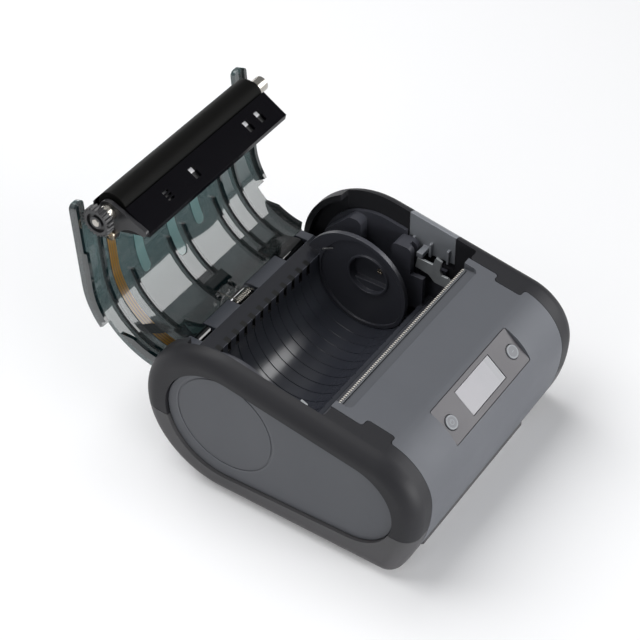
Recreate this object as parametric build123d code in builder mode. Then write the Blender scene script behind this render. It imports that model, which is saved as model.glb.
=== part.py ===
from build123d import *
import os
from math import acos, asin, atan2, cos, degrees, hypot, pi, radians, sin, sqrt

os.makedirs("parts", exist_ok=True)

# Portable printer for 80 mm labels, standing on its base with the paper cover open.
# X is the width (release button at +X), Y runs from the front to the back, Z is up.
# The origin is the centre of the base on the surface that it stands on. Millimetres.

# Gaps: fixed joints, moving neighbours, and shafts in their holes
joint_gap = 0.2
running_gap = 0.3
fit = 0.06

# Side outline of the body: three arcs joined by tangent lines
body_width = 112.0
side_depth = 6.0
rear_arc_y = 26.0
rear_arc_z = 33.5
rear_arc_r = 32.5
front_arc_y = -33.7
front_arc_z = 33.7
front_arc_r = 21.7
toe_arc_r = 61.0
side_round = 6.5
wall = 2.4
inner_half = body_width / 2 - side_depth

# Base skid, its chamfered corners and the screws that close the body
skid_front_y = -47.3
skid_rear_y = 38.0
skid_half = inner_half - 1.3
skid_front_chamfer = 14.0
skid_rear_chamfer = 5.0
base_screw_x = skid_half - 7.7
base_screw_front_y = -26.0
base_screw_rear_y = 28.0
screw_head_r = 2.4
screw_shank_r = 1.2

# Parting line between the upper bumpers and the lower housing
seam_front_z = 22.5
seam_rear_z = 29.5
seam_gap = 0.25

# Plan of the opening between the two bumpers
bay_half = inner_half + joint_gap
bay_front_y = -15.4
rear_half = inner_half - 3.4
rear_step_y = 41.0
front_half = inner_half - 4.7
waist_half = front_half - 3.3
waist_front_y = -38.2
waist_rear_y = -27.4

# Side panels
panel_rear_y = 24.0
panel_rear_z = 34.0
panel_rear_r = 23.3
panel_front_y = -28.3
panel_front_z = 30.2
panel_front_r = 17.8
panel_thickness = 2.0
panel_recess = 1.3
panel_ring_y = 22.7
panel_ring_z = 36.7
panel_ring_r = 20.2
panel_ring_width = 0.8
panel_ring_depth = 0.25

# Front housing, its tear bar and the window for the display
housing_wall = 2.2
strip_z = 56.5
strip_fill_z = 54.4
housing_rear_y = -14.9
strip_front_y = -20.8
strip_half = waist_half
tear_bar_half = strip_half - 1.0
tear_bar_front_y = -16.3
tear_bar_rear_y = -15.4
tear_bar_thickness = 0.6
tooth_pitch = 1.0
tooth_height = 0.7
lens_start_angle = 110.3
lens_end_angle = 150.7
lens_half = 25.2
lens_thickness = 1.2
window_half = 11.2
window_start = 1.9
window_end = 12.6
key_x = 20.7
key_s = 8.0
key_r = 2.7
key_height = 0.5
key_travel = 0.6

# Hinge line and the cover; the cover is drawn closed and stands open
hinge_y = 54.0
hinge_z = 39.3
cover_open_angle = 104.0
cover_drop = 0.8
cover_thickness = 2.0
cover_half = inner_half - 0.5
cover_rear_half = rear_half - 1.1
cover_rear_angle = 20.5
cover_step_angle = 67.0
cover_front_y = -13.9
cover_edge_y = -7.0
tab_width = 5.5
tab_corner_r = 2.0
flange_depth = 4.8
flange_front_depth = 3.4
flange_step_y = 6.0
flange_thickness = 1.4
flange_end_angle = 70.0
cheek_depth = 5.6
cheek_rear_angle = 21.0
cheek_full_angle = 46.0
cheek_end_angle = 59.0
rib_height = 1.8
rib_width = 1.0
knuckle_r = 2.6
rod_r = 1.0
near_knuckle = (-29.0, -22.0)
far_knuckle = (24.0, 37.0)

# Platen roller, driven from the near end
platen_y = -7.8
platen_z = 49.1
platen_r = 6.25
platen_x = (2.2 - tear_bar_half, tear_bar_half + 0.1)
platen_shaft_r = 1.5
bush_r = 3.0
near_cheek_x = (-tear_bar_half, platen_x[0] - 2 * running_gap)
far_cheek_x = (platen_x[1] + 2 * joint_gap, platen_x[1] + 2.1)
far_bush = (far_cheek_x[0], inner_half - 1.0)
shaft_x = (1.5 - inner_half, far_bush[1] + joint_gap)
platen_gear_x = (shaft_x[0] + joint_gap, shaft_x[0] + 3.4)
near_bush = (platen_gear_x[1] + running_gap, near_cheek_x[1])
gear_module = 0.45
platen_teeth = 24

# Bracket that carries the platen under the cover
bracket_wall = 1.2
flap_start = (-9.3, 42.3)
flap_end = (-0.8, 34.1)
flap_thickness = 1.4
window_xs = (-22.5, -7.4, 25.0, 32.0)
back_wall_y = 0.0
rail_front_y = -10.8
bracket_screw_y = 1.5
bracket_screw_z = 51.4

# Paper bay
tray_y = 22.7
tray_z = 36.7
tray_r = 21.0
tray_wall = 1.6
tray_x = (6.3 - inner_half, tear_bar_half + 0.5)
tray_lip_z = 30.0
tray_rear_angle = 10.0
shelf_front_y = 50.4
shelf_z = 42.0
rear_wall_z = 36.0
slot_pitch = 5.05
slot_count = 12
groove_depth = 0.3
groove_width = 0.5
guide_y = 26.7
guide_z = 34.6
guide_r = 22.6
guide_thickness = 2.0
guide_x = tear_bar_half - 7.4
hub_y = 21.0
hub_z = 41.3
hub_r = 8.1

# Latch and release button
latch_pivot_y = -13.0
latch_pivot_z = 36.5
latch_shaft_r = 1.5
latch_thickness = 1.0
near_latch_x = 6.5 - inner_half
far_latch_x = inner_half - 5.0
button_front_y = -6.4
button_rear_y = 13.4
button_middle_y = (button_front_y + button_rear_y) / 2
button_depth = button_rear_y - button_front_y
button_floor_z = 58.3
button_travel = 2.5
skirt_x = (inner_half + running_gap, inner_half + 1.5)
skirt_z = 48.0

# Gear train beside the bay
drive_teeth = 36
reduction_teeth = 48
small_teeth = 12
gear_plate_x = (5.4 - inner_half, 6.2 - inner_half)
drive_x = (3.3 - inner_half, 4.8 - inner_half)
wheel_x = (1.8 - inner_half, 3.1 - inner_half)


# Shared geometry

centre_run = hypot(front_arc_y - rear_arc_y, front_arc_z - rear_arc_z)
centre_angle = degrees(atan2(front_arc_z - rear_arc_z, front_arc_y - rear_arc_y))
top_angle = centre_angle - degrees(acos((rear_arc_r - front_arc_r) / centre_run))
floor_z = rear_arc_z - rear_arc_r
front_y = front_arc_y - front_arc_r
toe_arc_y = front_y + toe_arc_r
top_normal = (cos(radians(top_angle)), sin(radians(top_angle)))


def on_circle(y, z, radius, angle):
    """point of a circle in the side view"""
    return (y + radius * cos(radians(angle)), z + radius * sin(radians(angle)))


def top_line_z(y, inset):
    """height of the sloping top of the body at y, inset from the skin"""
    start_y, start_z = on_circle(rear_arc_y, rear_arc_z, rear_arc_r - inset, top_angle)
    return start_z + (y - start_y) * -top_normal[0] / top_normal[1]


def side_outline(plane, inset):
    """closed side outline of the body, inset from its skin, as a face"""
    drop = degrees(asin((front_arc_z - floor_z - inset) / (toe_arc_r - inset)))
    with BuildSketch(plane) as outline:
        with BuildLine():
            rear = CenterArc((rear_arc_y, rear_arc_z), rear_arc_r - inset, -90, 90 + top_angle)
            front = CenterArc((front_arc_y, front_arc_z), front_arc_r - inset, top_angle,
                              180 - top_angle)
            toe = CenterArc((toe_arc_y, front_arc_z), toe_arc_r - inset, 180, drop)
            Line(rear @ 1, front @ 0)
            Line(toe @ 1, rear @ 0)
        make_face()
    return outline.sketch


def top_band(plane, outer, inner, from_angle, to_y):
    """strip of the rear arc and sloping top, between two insets, that ends at to_y"""
    with BuildSketch(plane) as band:
        with BuildLine():
            span = top_angle - from_angle
            out = CenterArc((rear_arc_y, rear_arc_z), rear_arc_r - outer, from_angle, span)
            back = CenterArc((rear_arc_y, rear_arc_z), rear_arc_r - inner, from_angle, span)
            tip = (to_y, top_line_z(to_y, outer))
            under = (to_y, top_line_z(to_y, inner))
            Line(out @ 1, tip)
            Line(tip, under)
            Line(under, back @ 1)
            Line(back @ 0, out @ 0)
        make_face()
    return band.sketch


def side_plane(x):
    """plane of the side view at x: its x is Y and its y is Z"""
    return Plane.YZ.offset(x)


# The cover is drawn where it lies when closed, on a side view turned about the hinge
turn = radians(-cover_open_angle)
closed_origin = (
    hinge_y - hinge_y * cos(turn) + hinge_z * sin(turn),
    hinge_z - hinge_y * sin(turn) - hinge_z * cos(turn),
)
closed_view = Plane(origin=(0, closed_origin[0], closed_origin[1]),
                    x_dir=(0, cos(turn), sin(turn)), z_dir=(1, 0, 0))


def cover_plane(x):
    """side view of the closed cover at x, standing open with it"""
    return closed_view.offset(x)


def cover_point(x, y, z):
    """place of a point of the closed cover, once the cover stands open"""
    return closed_view.from_local_coords((y, z, x))


# Display plane: starts at the upper edge of the lens and runs down the front
lens_top = on_circle(front_arc_y, front_arc_z, front_arc_r, lens_start_angle)
lens_foot = on_circle(front_arc_y, front_arc_z, front_arc_r, lens_end_angle)
lens_length = hypot(lens_foot[0] - lens_top[0], lens_foot[1] - lens_top[1])
lens_run = ((lens_foot[0] - lens_top[0]) / lens_length, (lens_foot[1] - lens_top[1]) / lens_length)
lens_view = Plane(origin=(0, lens_top[0], lens_top[1]), x_dir=(1, 0, 0),
                  z_dir=(0, lens_run[1], -lens_run[0]))


def lens_plane(depth):
    """plane under the face of the lens; x is X, and y runs up the slope"""
    return lens_view.offset(-depth)


def save(part, name):
    part.part.label = name
    export_step(part.part, f"parts/{name}.step")


# Solid outer form of the body, with its long edges rounded
with BuildPart() as body_block:
    extrude(side_outline(Plane.YZ, 0),
            amount=body_width / 2, both=True)
    toe_edge = body_block.edges().filter_by(Axis.X).group_by(Axis.Z)[0].sort_by(Axis.Y)[0]
    fillet(toe_edge, side_round + joint_gap)
    fillet(body_block.faces().filter_by(Axis.X).edges(), side_round)


def plan_of_opening(gap):
    """plan of the opening between the bumpers, grown by a gap"""
    far_front = front_y - side_round
    far_rear = rear_arc_y + rear_arc_r + side_round
    with BuildSketch(Plane.XY) as plan:
        with BuildLine():
            Polyline(
                (0, far_front),
                (front_half + gap, far_front),
                (front_half + gap, waist_front_y + gap),
                (waist_half + gap, waist_front_y + gap),
                (waist_half + gap, waist_rear_y - gap),
                (front_half + gap, waist_rear_y - gap),
                (front_half + gap, bay_front_y - gap),
                (bay_half + gap, bay_front_y - gap),
                (bay_half + gap, rear_step_y + gap),
                (rear_half + gap, rear_step_y + gap),
                (rear_half + gap, far_rear),
                (0, far_rear),
                close=True,
            )
        make_face()
        mirror(about=Plane.YZ)
        inner = plan.vertices().filter_by(lambda v: far_front < v.Y < far_rear)
        fillet(inner, joint_gap + 1.0)
    return plan.sketch


def seam_wedge(keep_above, gap):
    """side view of all that lies above or below the parting line"""
    reach = body_width
    slope = (seam_rear_z - seam_front_z) / (rear_arc_y + rear_arc_r - front_y)
    front = (-reach, seam_front_z + (-reach - front_y) * slope + gap)
    rear = (reach, seam_front_z + (reach - front_y) * slope + gap)
    limit = reach if keep_above else -reach
    with BuildSketch(Plane.YZ) as wedge:
        Polygon(front, rear, (reach, limit), (-reach, limit), align=None)
    return wedge.sketch


def panel_outline(plane, grow):
    """outline of a side panel: two circles and their common tangents"""
    with BuildSketch(plane) as outline:
        with Locations((panel_rear_y, panel_rear_z)):
            Circle(panel_rear_r + grow)
        with Locations((panel_front_y, panel_front_z)):
            Circle(panel_front_r + grow)
        make_hull()
    return outline.sketch


panel_outer_x = body_width / 2 - panel_recess
panel_inner_x = panel_outer_x - panel_thickness

# Lower housing: floor, lower side walls, skid, rear wall and board posts
battery_x = (-21.0, 29.0)
battery_y = (-42.5, -5.0)
battery_height = 16.6
battery_margin = 0.5
board_x = (-27.0, 35.0)
board_y = (-39.0, -4.0)
board_z = 22.5
board_thickness = 1.6
post_inset = 2.8
inner_floor_z = floor_z + wall
door_margin = 3.0
door_thickness = 1.6
door_gap = 0.2
door_centre = ((battery_x[0] + battery_x[1]) / 2, (battery_y[0] + battery_y[1]) / 2)
door_width = battery_x[1] - battery_x[0] + 2 * door_margin
door_depth = battery_y[1] - battery_y[0] + 2 * door_margin
base_screw_spots = [(x, y) for x in (-base_screw_x, base_screw_x)
                    for y in (base_screw_front_y, base_screw_rear_y)]
board_posts = [(x, y) for x in (board_x[0] + post_inset, board_x[1] - post_inset)
               for y in (board_y[0] + post_inset, board_y[1] - post_inset)]

with BuildPart() as lower_housing:
    add(body_block.part)
    with BuildSketch(Plane.XY):
        with Locations((0, (skid_front_y + skid_rear_y) / 2)):
            skid = Rectangle(2 * skid_half, skid_rear_y - skid_front_y)
        corners = skid.vertices().group_by(Axis.Y)
        chamfer(corners[0], skid_front_chamfer)
        chamfer(corners[-1], skid_rear_chamfer)
    extrude(amount=inner_floor_z)
    extrude(side_outline(Plane.YZ, wall),
            amount=inner_half, both=True, mode=Mode.SUBTRACT)
    for side in (-1, 1):
        extrude(panel_outline(side_plane(side * panel_inner_x), joint_gap),
                amount=side * (panel_thickness + side_round), mode=Mode.SUBTRACT)
    extrude(seam_wedge(True, 0),
            amount=body_width, both=True, mode=Mode.SUBTRACT)
    with BuildSketch(Plane.XY.offset(inner_floor_z)):
        with Locations((0, front_y)):
            Rectangle(2 * (front_half + joint_gap), 2 * (waist_front_y - front_y))
    extrude(amount=body_width, mode=Mode.SUBTRACT)
    with BuildSketch(Plane.YZ) as rear_wall:
        add(side_outline(Plane.XY, 0))
        add(side_outline(Plane.XY, wall), mode=Mode.SUBTRACT)
        with Locations((rear_arc_y + rear_arc_r, (rear_wall_z + seam_rear_z) / 2)):
            Rectangle(rear_arc_r, rear_wall_z - seam_rear_z + 2 * wall, mode=Mode.INTERSECT)
    extrude(amount=rear_half - joint_gap, both=True)
    with BuildSketch(Plane.XY.offset(rear_wall_z)):
        Rectangle(2 * body_width, 2 * body_width)
    extrude(amount=body_width, mode=Mode.SUBTRACT)
    with BuildSketch(Plane.XY.offset(inner_floor_z)):
        with Locations(*board_posts):
            Circle(post_inset - joint_gap)
            Circle(screw_shank_r, mode=Mode.SUBTRACT)
    extrude(amount=board_z - inner_floor_z)
    with BuildSketch(Plane.XY):
        with Locations(door_centre):
            Rectangle(door_width + 2 * door_gap, door_depth + 2 * door_gap)
    extrude(amount=door_thickness + door_gap, mode=Mode.SUBTRACT)
    with BuildSketch(Plane.XY):
        with Locations(door_centre):
            Rectangle(door_width - 2 * door_margin + 2 * battery_margin,
                      door_depth - 2 * door_margin + 2 * battery_margin)
    extrude(amount=inner_floor_z, mode=Mode.SUBTRACT)
    with BuildSketch(Plane.XY):
        with Locations(*base_screw_spots):
            Circle(screw_head_r + joint_gap)
    extrude(amount=wall, mode=Mode.SUBTRACT)
save(lower_housing, "lower_housing")

# Battery door in the underside, with a thumb recess
with BuildPart() as battery_door:
    with BuildSketch(Plane.XY.offset(door_gap)):
        with Locations(door_centre):
            RectangleRounded(door_width, door_depth, 2 * door_gap)
    extrude(amount=door_thickness)
    with BuildSketch(Plane.XY.offset(door_gap)):
        with Locations((door_centre[0], battery_y[1] - wall)):
            SlotOverall(6 * wall, 2 * wall)
    extrude(amount=door_thickness / 2, mode=Mode.SUBTRACT)
save(battery_door, "battery_door")

# Screws that close the base
with BuildPart() as base_screws:
    with BuildSketch(Plane.XY.offset(door_gap)):
        with Locations(*base_screw_spots):
            Circle(screw_head_r)
    extrude(amount=wall - door_gap)
    with BuildSketch(Plane.XY.offset(door_gap)):
        with Locations(*base_screw_spots):
            SlotOverall(screw_head_r, screw_shank_r / 2)
            SlotOverall(screw_head_r, screw_shank_r / 2, rotation=90)
    extrude(amount=wall / 2, mode=Mode.SUBTRACT)
save(base_screws, "base_screws")


def build_bumper(side):
    """one upper bumper: the rounded shoulder over a side panel"""
    with BuildPart() as bumper:
        add(body_block.part)
        extrude(seam_wedge(False, seam_gap),
                amount=body_width, both=True, mode=Mode.SUBTRACT)
        extrude(side_outline(Plane.YZ, wall),
                amount=inner_half, both=True, mode=Mode.SUBTRACT)
        extrude(plan_of_opening(0),
                amount=body_width, mode=Mode.SUBTRACT)
        extrude(panel_outline(side_plane(side * panel_inner_x), joint_gap),
                amount=side * (panel_thickness + side_round), mode=Mode.SUBTRACT)
        with BuildSketch(Plane.YZ):
            Rectangle(2 * body_width, 2 * body_width)
        extrude(amount=-side * body_width, mode=Mode.SUBTRACT)
        if side > 0:
            with BuildSketch(side_plane(inner_half - wall)):
                with Locations((button_middle_y, button_floor_z - button_travel)):
                    Rectangle(button_depth + 2 * joint_gap, body_width,
                              align=(Align.CENTER, Align.MIN))
            extrude(amount=body_width, mode=Mode.SUBTRACT)
            with BuildSketch(side_plane(inner_half - wall)):
                with Locations((button_middle_y, skirt_z - button_travel - joint_gap)):
                    Rectangle(button_depth + 2 * joint_gap, body_width,
                              align=(Align.CENTER, Align.MIN))
            extrude(amount=wall + skirt_x[1] - inner_half + 2 * joint_gap, mode=Mode.SUBTRACT)
    return bumper


left_bumper = build_bumper(-1)
save(left_bumper, "left_bumper")
right_bumper = build_bumper(1)
save(right_bumper, "right_bumper")


def build_side_panel(side):
    """flat grey panel in the pocket of a bumper, with one engraved ring"""
    with BuildPart() as panel:
        extrude(panel_outline(side_plane(side * (panel_inner_x + joint_gap / 2)), 0),
                amount=side * (panel_thickness - joint_gap / 2))
        outer = panel.faces().sort_by(Axis.X)[-1 if side > 0 else 0]
        fillet(outer.edges(), panel_recess / 4)
        with BuildSketch(side_plane(side * panel_outer_x)):
            with Locations((panel_ring_y, panel_ring_z)):
                Circle(panel_ring_r)
                Circle(panel_ring_r - panel_ring_width, mode=Mode.SUBTRACT)
        extrude(amount=-side * panel_ring_depth, mode=Mode.SUBTRACT)
    return panel


left_side_panel = build_side_panel(-1)
save(left_side_panel, "left_side_panel")
right_side_panel = build_side_panel(1)
save(right_side_panel, "right_side_panel")

# Front housing: the shell between the bumpers, with the tear strip and display frame
frame_margin = 1.8
frame_depth = 3.2
frame_leg_depth = 5.0
lens_middle = -lens_length / 2

with BuildPart() as front_housing:
    extrude(side_outline(Plane.YZ, 0),
            amount=body_width, both=True)
    extrude(side_outline(Plane.YZ, housing_wall),
            amount=body_width, both=True, mode=Mode.SUBTRACT)
    extrude(plan_of_opening(-joint_gap),
            amount=body_width, mode=Mode.INTERSECT)
    with BuildSketch(Plane.XY.offset(inner_floor_z + joint_gap)):
        with Locations((0, housing_rear_y - body_width / 2)):
            Rectangle(2 * (front_half - joint_gap), body_width)
    extrude(amount=body_width, mode=Mode.INTERSECT)
    with BuildSketch(Plane.YZ):
        fill_front_y = strip_front_y - housing_wall
        Polygon((fill_front_y, strip_fill_z), (housing_rear_y, strip_fill_z),
                (housing_rear_y, top_line_z(housing_rear_y, 0)),
                (fill_front_y, top_line_z(fill_front_y, 0)), align=None)
    extrude(amount=front_half - joint_gap, both=True)
    with BuildSketch(Plane.XY.offset(strip_z)):
        with Locations((0, housing_rear_y)):
            RectangleRounded(2 * strip_half, 2 * (housing_rear_y - strip_front_y), housing_wall)
    extrude(amount=body_width, mode=Mode.SUBTRACT)
    with BuildSketch(lens_plane(frame_depth)):
        with Locations((0, lens_middle)):
            Rectangle(2 * (lens_half + frame_margin), lens_length + 2 * frame_margin)
    extrude(amount=frame_depth - lens_thickness)
    with BuildSketch(lens_plane(lens_thickness)):
        with Locations((0, lens_middle)):
            RectangleRounded(2 * lens_half + joint_gap, lens_length + joint_gap, frame_margin / 2)
    extrude(amount=body_width, mode=Mode.SUBTRACT)
    with BuildSketch(lens_plane(frame_depth + wall)):
        with Locations((0, lens_middle)):
            Rectangle(2 * lens_half - frame_margin, lens_length - frame_margin)
    extrude(amount=body_width, mode=Mode.SUBTRACT)
    with BuildSketch(lens_plane(frame_depth)):
        with Locations(*[(x, s) for x in (-lens_half, lens_half) for s in (0, -lens_length)]):
            Circle(frame_margin / 2)
    extrude(amount=frame_depth - frame_leg_depth)
save(front_housing, "front_housing")

# Tear bar: a thin steel strip with fine teeth along its rear edge
tooth_count = int(2 * tear_bar_half / tooth_pitch)
with BuildPart() as tear_bar:
    with BuildSketch(Plane.XY.offset(strip_z)):
        with BuildLine():
            teeth = []
            for step in range(tooth_count):
                x = -tear_bar_half + step * tooth_pitch
                teeth.append((x, tear_bar_rear_y))
                teeth.append((x + tooth_pitch / 2, tear_bar_rear_y + tooth_height))
            end_x = -tear_bar_half + tooth_count * tooth_pitch
            Polyline(*teeth, (end_x, tear_bar_rear_y), (end_x, tear_bar_front_y),
                     (-tear_bar_half, tear_bar_front_y), close=True)
        make_face()
    extrude(amount=tear_bar_thickness)
save(tear_bar, "tear_bar")

# Display lens with its window and two key holes
with BuildPart() as display_lens:
    with BuildSketch(lens_plane(lens_thickness)):
        with Locations((0, lens_middle)):
            RectangleRounded(2 * lens_half, lens_length, frame_margin / 2)
        with Locations((0, -(window_start + window_end) / 2)):
            Rectangle(2 * window_half, window_end - window_start, mode=Mode.SUBTRACT)
        with Locations((-key_x, -key_s), (key_x, -key_s)):
            Circle(key_r + joint_gap, mode=Mode.SUBTRACT)
    extrude(amount=lens_thickness)
    lens_face = display_lens.faces().sort_by(Axis(lens_view.origin, lens_view.z_dir))[-1]
    chamfer(lens_face.outer_wire().edges(), joint_gap)
save(display_lens, "display_lens")

# Display module: glass in the window on a carrier block
screen_gap = 0.15
module_margin = 1.4
with BuildPart() as lcd_module:
    with BuildSketch(lens_plane(frame_leg_depth)):
        with Locations((0, -(window_start + window_end) / 2)):
            Rectangle(2 * (window_half + module_margin), window_end - window_start)
    extrude(amount=frame_leg_depth - lens_thickness - screen_gap)
    with BuildSketch(lens_plane(frame_leg_depth - wall)):
        with Locations((0, -(window_start + window_end) / 2)):
            Rectangle(2 * (window_half - screen_gap), window_end - window_start - 2 * screen_gap)
    extrude(amount=frame_leg_depth - wall - screen_gap)
save(lcd_module, "lcd_module")

# Key board behind the display, with one switch under each key
switch_half = 2.2
switch_stem_r = 1.0
key_skirt = 2.2
with BuildPart() as key_board:
    with BuildSketch(lens_plane(frame_leg_depth + board_thickness / 2)):
        with Locations((0, lens_middle)):
            Rectangle(2 * (lens_half + frame_margin / 2), lens_length + frame_margin)
    extrude(amount=board_thickness / 2)
save(key_board, "key_board")

with BuildPart() as key_switches:
    with BuildSketch(lens_plane(frame_leg_depth)):
        with Locations((-key_x, -key_s), (key_x, -key_s)):
            Rectangle(2 * switch_half, 2 * switch_half)
    extrude(amount=frame_leg_depth - key_skirt - 2 * key_travel)
    with BuildSketch(lens_plane(frame_leg_depth)):
        with Locations((-key_x, -key_s), (key_x, -key_s)):
            Circle(switch_stem_r)
    extrude(amount=frame_leg_depth - key_skirt - key_travel - fit)
save(key_switches, "key_switches")

# Round keys that press straight into the lens
for name, x in (("power_button", -key_x), ("feed_button", key_x)):
    with BuildPart() as key:
        with BuildSketch(lens_plane(key_skirt)):
            with Locations((x, -key_s)):
                Circle(key_r)
        extrude(amount=key_skirt + key_height)
        rim = key.edges().filter_by(GeomType.CIRCLE)
        fillet(rim.sort_by(Axis(lens_view.origin, lens_view.z_dir))[-1], key_height / 2)
        with BuildSketch(lens_plane(key_skirt)):
            with Locations((x, -key_s)):
                Circle(key_r + 2 * joint_gap)
        extrude(amount=key_skirt - lens_thickness - joint_gap)
    save(key, name)

# Paper tray: a glossy trough with guide slots, a ramp and the hinge shelf
tray_front_angle = 180 + degrees(asin((tray_z - tray_lip_z) / tray_r))
tray_rear = on_circle(tray_y, tray_z, tray_r, tray_rear_angle)
shelf_rear_y = rear_arc_y + sqrt(rear_arc_r ** 2 - (shelf_z - rear_arc_z) ** 2)
shelf_floor_z = rear_wall_z + joint_gap
shelf_segments = [
    (near_knuckle[0] - 4.4, near_knuckle[0] - 2 * running_gap),
    (near_knuckle[1] + 2 * running_gap, -6.2),
    (5.2, far_knuckle[0] - 2 * running_gap),
    (far_knuckle[1] + 2 * running_gap, far_knuckle[1] + 4.4),
]
slot_xs = [(index - (slot_count - 1) / 2) * slot_pitch for index in range(slot_count)]
rear_slot_z = 37.6
rear_slot_height = 4.0
front_slot_angle = 211.1
slot_width = 1.5

with BuildPart() as paper_tray:
    with BuildSketch(side_plane(tray_x[0])):
        with BuildLine():
            inner = CenterArc((tray_y, tray_z), tray_r, tray_front_angle,
                              360 + tray_rear_angle - tray_front_angle)
            outer = CenterArc((tray_y, tray_z), tray_r + tray_wall, tray_front_angle,
                              360 + tray_rear_angle - tray_front_angle)
            Line(inner @ 0, outer @ 0)
            Polyline(inner @ 1, (shelf_front_y, shelf_z), (shelf_front_y, shelf_z - tray_wall),
                     outer @ 1)
        make_face()
    extrude(amount=tray_x[1] - tray_x[0])
    for start, end in shelf_segments:
        with BuildSketch(side_plane(start)) as shelf:
            with BuildLine():
                Polyline((shelf_front_y - tray_wall, shelf_floor_z),
                         (shelf_front_y - tray_wall, shelf_z - tray_wall / 2),
                         (shelf_front_y, shelf_z), (shelf_rear_y - tray_wall, shelf_z),
                         (shelf_rear_y, shelf_z - tray_wall), (shelf_rear_y, shelf_floor_z),
                         close=True)
            make_face()
            with Locations((hinge_y, hinge_z)):
                Circle(rod_r + fit, mode=Mode.SUBTRACT)
        extrude(amount=end - start)
    for x in slot_xs:
        with BuildSketch(side_plane(x - groove_width / 2)):
            with Locations((tray_y, tray_z)):
                Circle(tray_r + groove_depth)
                Circle(tray_r - tray_wall, mode=Mode.SUBTRACT)
                Rectangle(4 * tray_r, 2 * tray_r, align=(Align.CENTER, Align.MAX),
                          mode=Mode.INTERSECT)
        extrude(amount=groove_width, mode=Mode.SUBTRACT)
    with BuildSketch(Plane.XZ.offset(-tray_y)):
        with Locations(*[(x, rear_slot_z) for x in slot_xs]):
            Rectangle(slot_width, rear_slot_height)
    extrude(amount=-(tray_r + 2 * tray_wall), mode=Mode.SUBTRACT)
    front_slot = on_circle(tray_y, tray_z, tray_r, front_slot_angle)
    front_slot_plane = Plane(origin=(0, front_slot[0], front_slot[1]), x_dir=(1, 0, 0),
                             z_dir=(0, -cos(radians(front_slot_angle)),
                                    -sin(radians(front_slot_angle))))
    with BuildSketch(front_slot_plane.offset(-2 * tray_wall)):
        with Locations(*[(x, 0) for x in slot_xs]):
            Rectangle(slot_width, slot_width * 1.6)
    extrude(amount=4 * tray_wall, mode=Mode.SUBTRACT)
save(paper_tray, "paper_tray")

# Hinge rod through the shelf and the knuckles of the cover
with BuildPart() as hinge_rod:
    with BuildSketch(side_plane(shelf_segments[0][0])):
        with Locations((hinge_y, hinge_z)):
            Circle(rod_r)
    extrude(amount=shelf_segments[-1][1] - shelf_segments[0][0])
save(hinge_rod, "hinge_rod")


def guide_profile(plane):
    """round paper guide, cut to lie just inside the tray"""
    lift = 1.2
    with BuildSketch(plane) as profile:
        with Locations((tray_y, tray_z)):
            Circle(tray_r - running_gap)
        with Locations((tray_y, tray_z + tray_r)):
            Rectangle(4 * tray_r, 2 * (tray_r - lift))
        with Locations((guide_y, guide_z)):
            Circle(guide_r, mode=Mode.INTERSECT)
        ramp_limit = tray_rear[0] - running_gap
        with Locations((ramp_limit, tray_z - tray_r)):
            Rectangle(tray_r, tray_r + shelf_z - tray_z + running_gap + lift,
                      align=(Align.MIN, Align.MIN), mode=Mode.SUBTRACT)
    return profile.sketch


# Sliding paper guide at the far side: a dished disc with a hub and a finger hook
rim_height = 0.8
with BuildPart() as roll_guide:
    extrude(guide_profile(side_plane(guide_x)),
            amount=guide_thickness)
    with BuildSketch(side_plane(guide_x)):
        with Locations((guide_y, guide_z)):
            Circle(guide_r - 1.6)
        with Locations((tray_y, tray_z)):
            Circle(tray_r - running_gap - 1.6, mode=Mode.INTERSECT)
    extrude(amount=rim_height, mode=Mode.SUBTRACT)
    with BuildSketch(side_plane(guide_x)):
        with Locations((hub_y, hub_z)):
            Circle(hub_r + rim_height)
    extrude(amount=guide_thickness)
    with BuildSketch(side_plane(guide_x)):
        with Locations((hub_y, hub_z)):
            Circle(hub_r)
    extrude(amount=guide_thickness, mode=Mode.SUBTRACT)
    with BuildSketch(side_plane(guide_x + guide_thickness)):
        with Locations((hub_y, hub_z)):
            Circle(hub_r + rim_height)
    extrude(amount=2 * guide_thickness)
    with BuildSketch(side_plane(guide_x)):
        with Locations((hub_y, hub_z)):
            Circle(hub_r)
            with Locations((0, -hub_r)):
                Rectangle(2 * hub_r, hub_r * 0.9, mode=Mode.SUBTRACT)
    extrude(amount=2 * guide_thickness, mode=Mode.SUBTRACT)
    with BuildSketch(side_plane(guide_x)):
        with BuildLine():
            hook_start = (guide_y + guide_r * 0.72, guide_z - guide_r * 0.22)
            hook_top = (guide_y + guide_r * 0.72, guide_z + guide_r * 0.42)
            hook_end = (guide_y + guide_r * 0.45, guide_z + guide_r * 0.55)
            FilletPolyline(hook_start, hook_top, hook_end, radius=guide_thickness)
        trace(line_width=2 * groove_width)
    extrude(amount=guide_thickness, mode=Mode.SUBTRACT)
save(roll_guide, "roll_guide")

# Screw in the hub of the sliding guide
hub_screw_y = 17.6
hub_screw_z = 42.6
with BuildPart() as guide_screw:
    with BuildSketch(side_plane(guide_x + 2 * guide_thickness - rim_height)):
        with Locations((hub_screw_y, hub_screw_z)):
            Circle(screw_shank_r)
            SlotOverall(1.6 * screw_shank_r, screw_shank_r / 3, mode=Mode.SUBTRACT)
    extrude(amount=rim_height)
save(guide_screw, "guide_screw")

# Fixed paper guide on the near wall, on three studs
left_guide_x = (6.5 - inner_half, 8.0 - inner_half)
bay_wall_x = (inner_half - 1.4, inner_half)
with BuildPart() as left_roll_guide:
    extrude(guide_profile(side_plane(left_guide_x[0])),
            amount=left_guide_x[1] - left_guide_x[0])
    with BuildSketch(side_plane(left_guide_x[0])):
        with Locations((hub_y, hub_z), (guide_y + guide_r / 2, guide_z), (hub_y, tray_z - hub_r)):
            Circle(screw_head_r)
    extrude(amount=-(bay_wall_x[0] + left_guide_x[0]))
save(left_roll_guide, "left_roll_guide")

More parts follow.
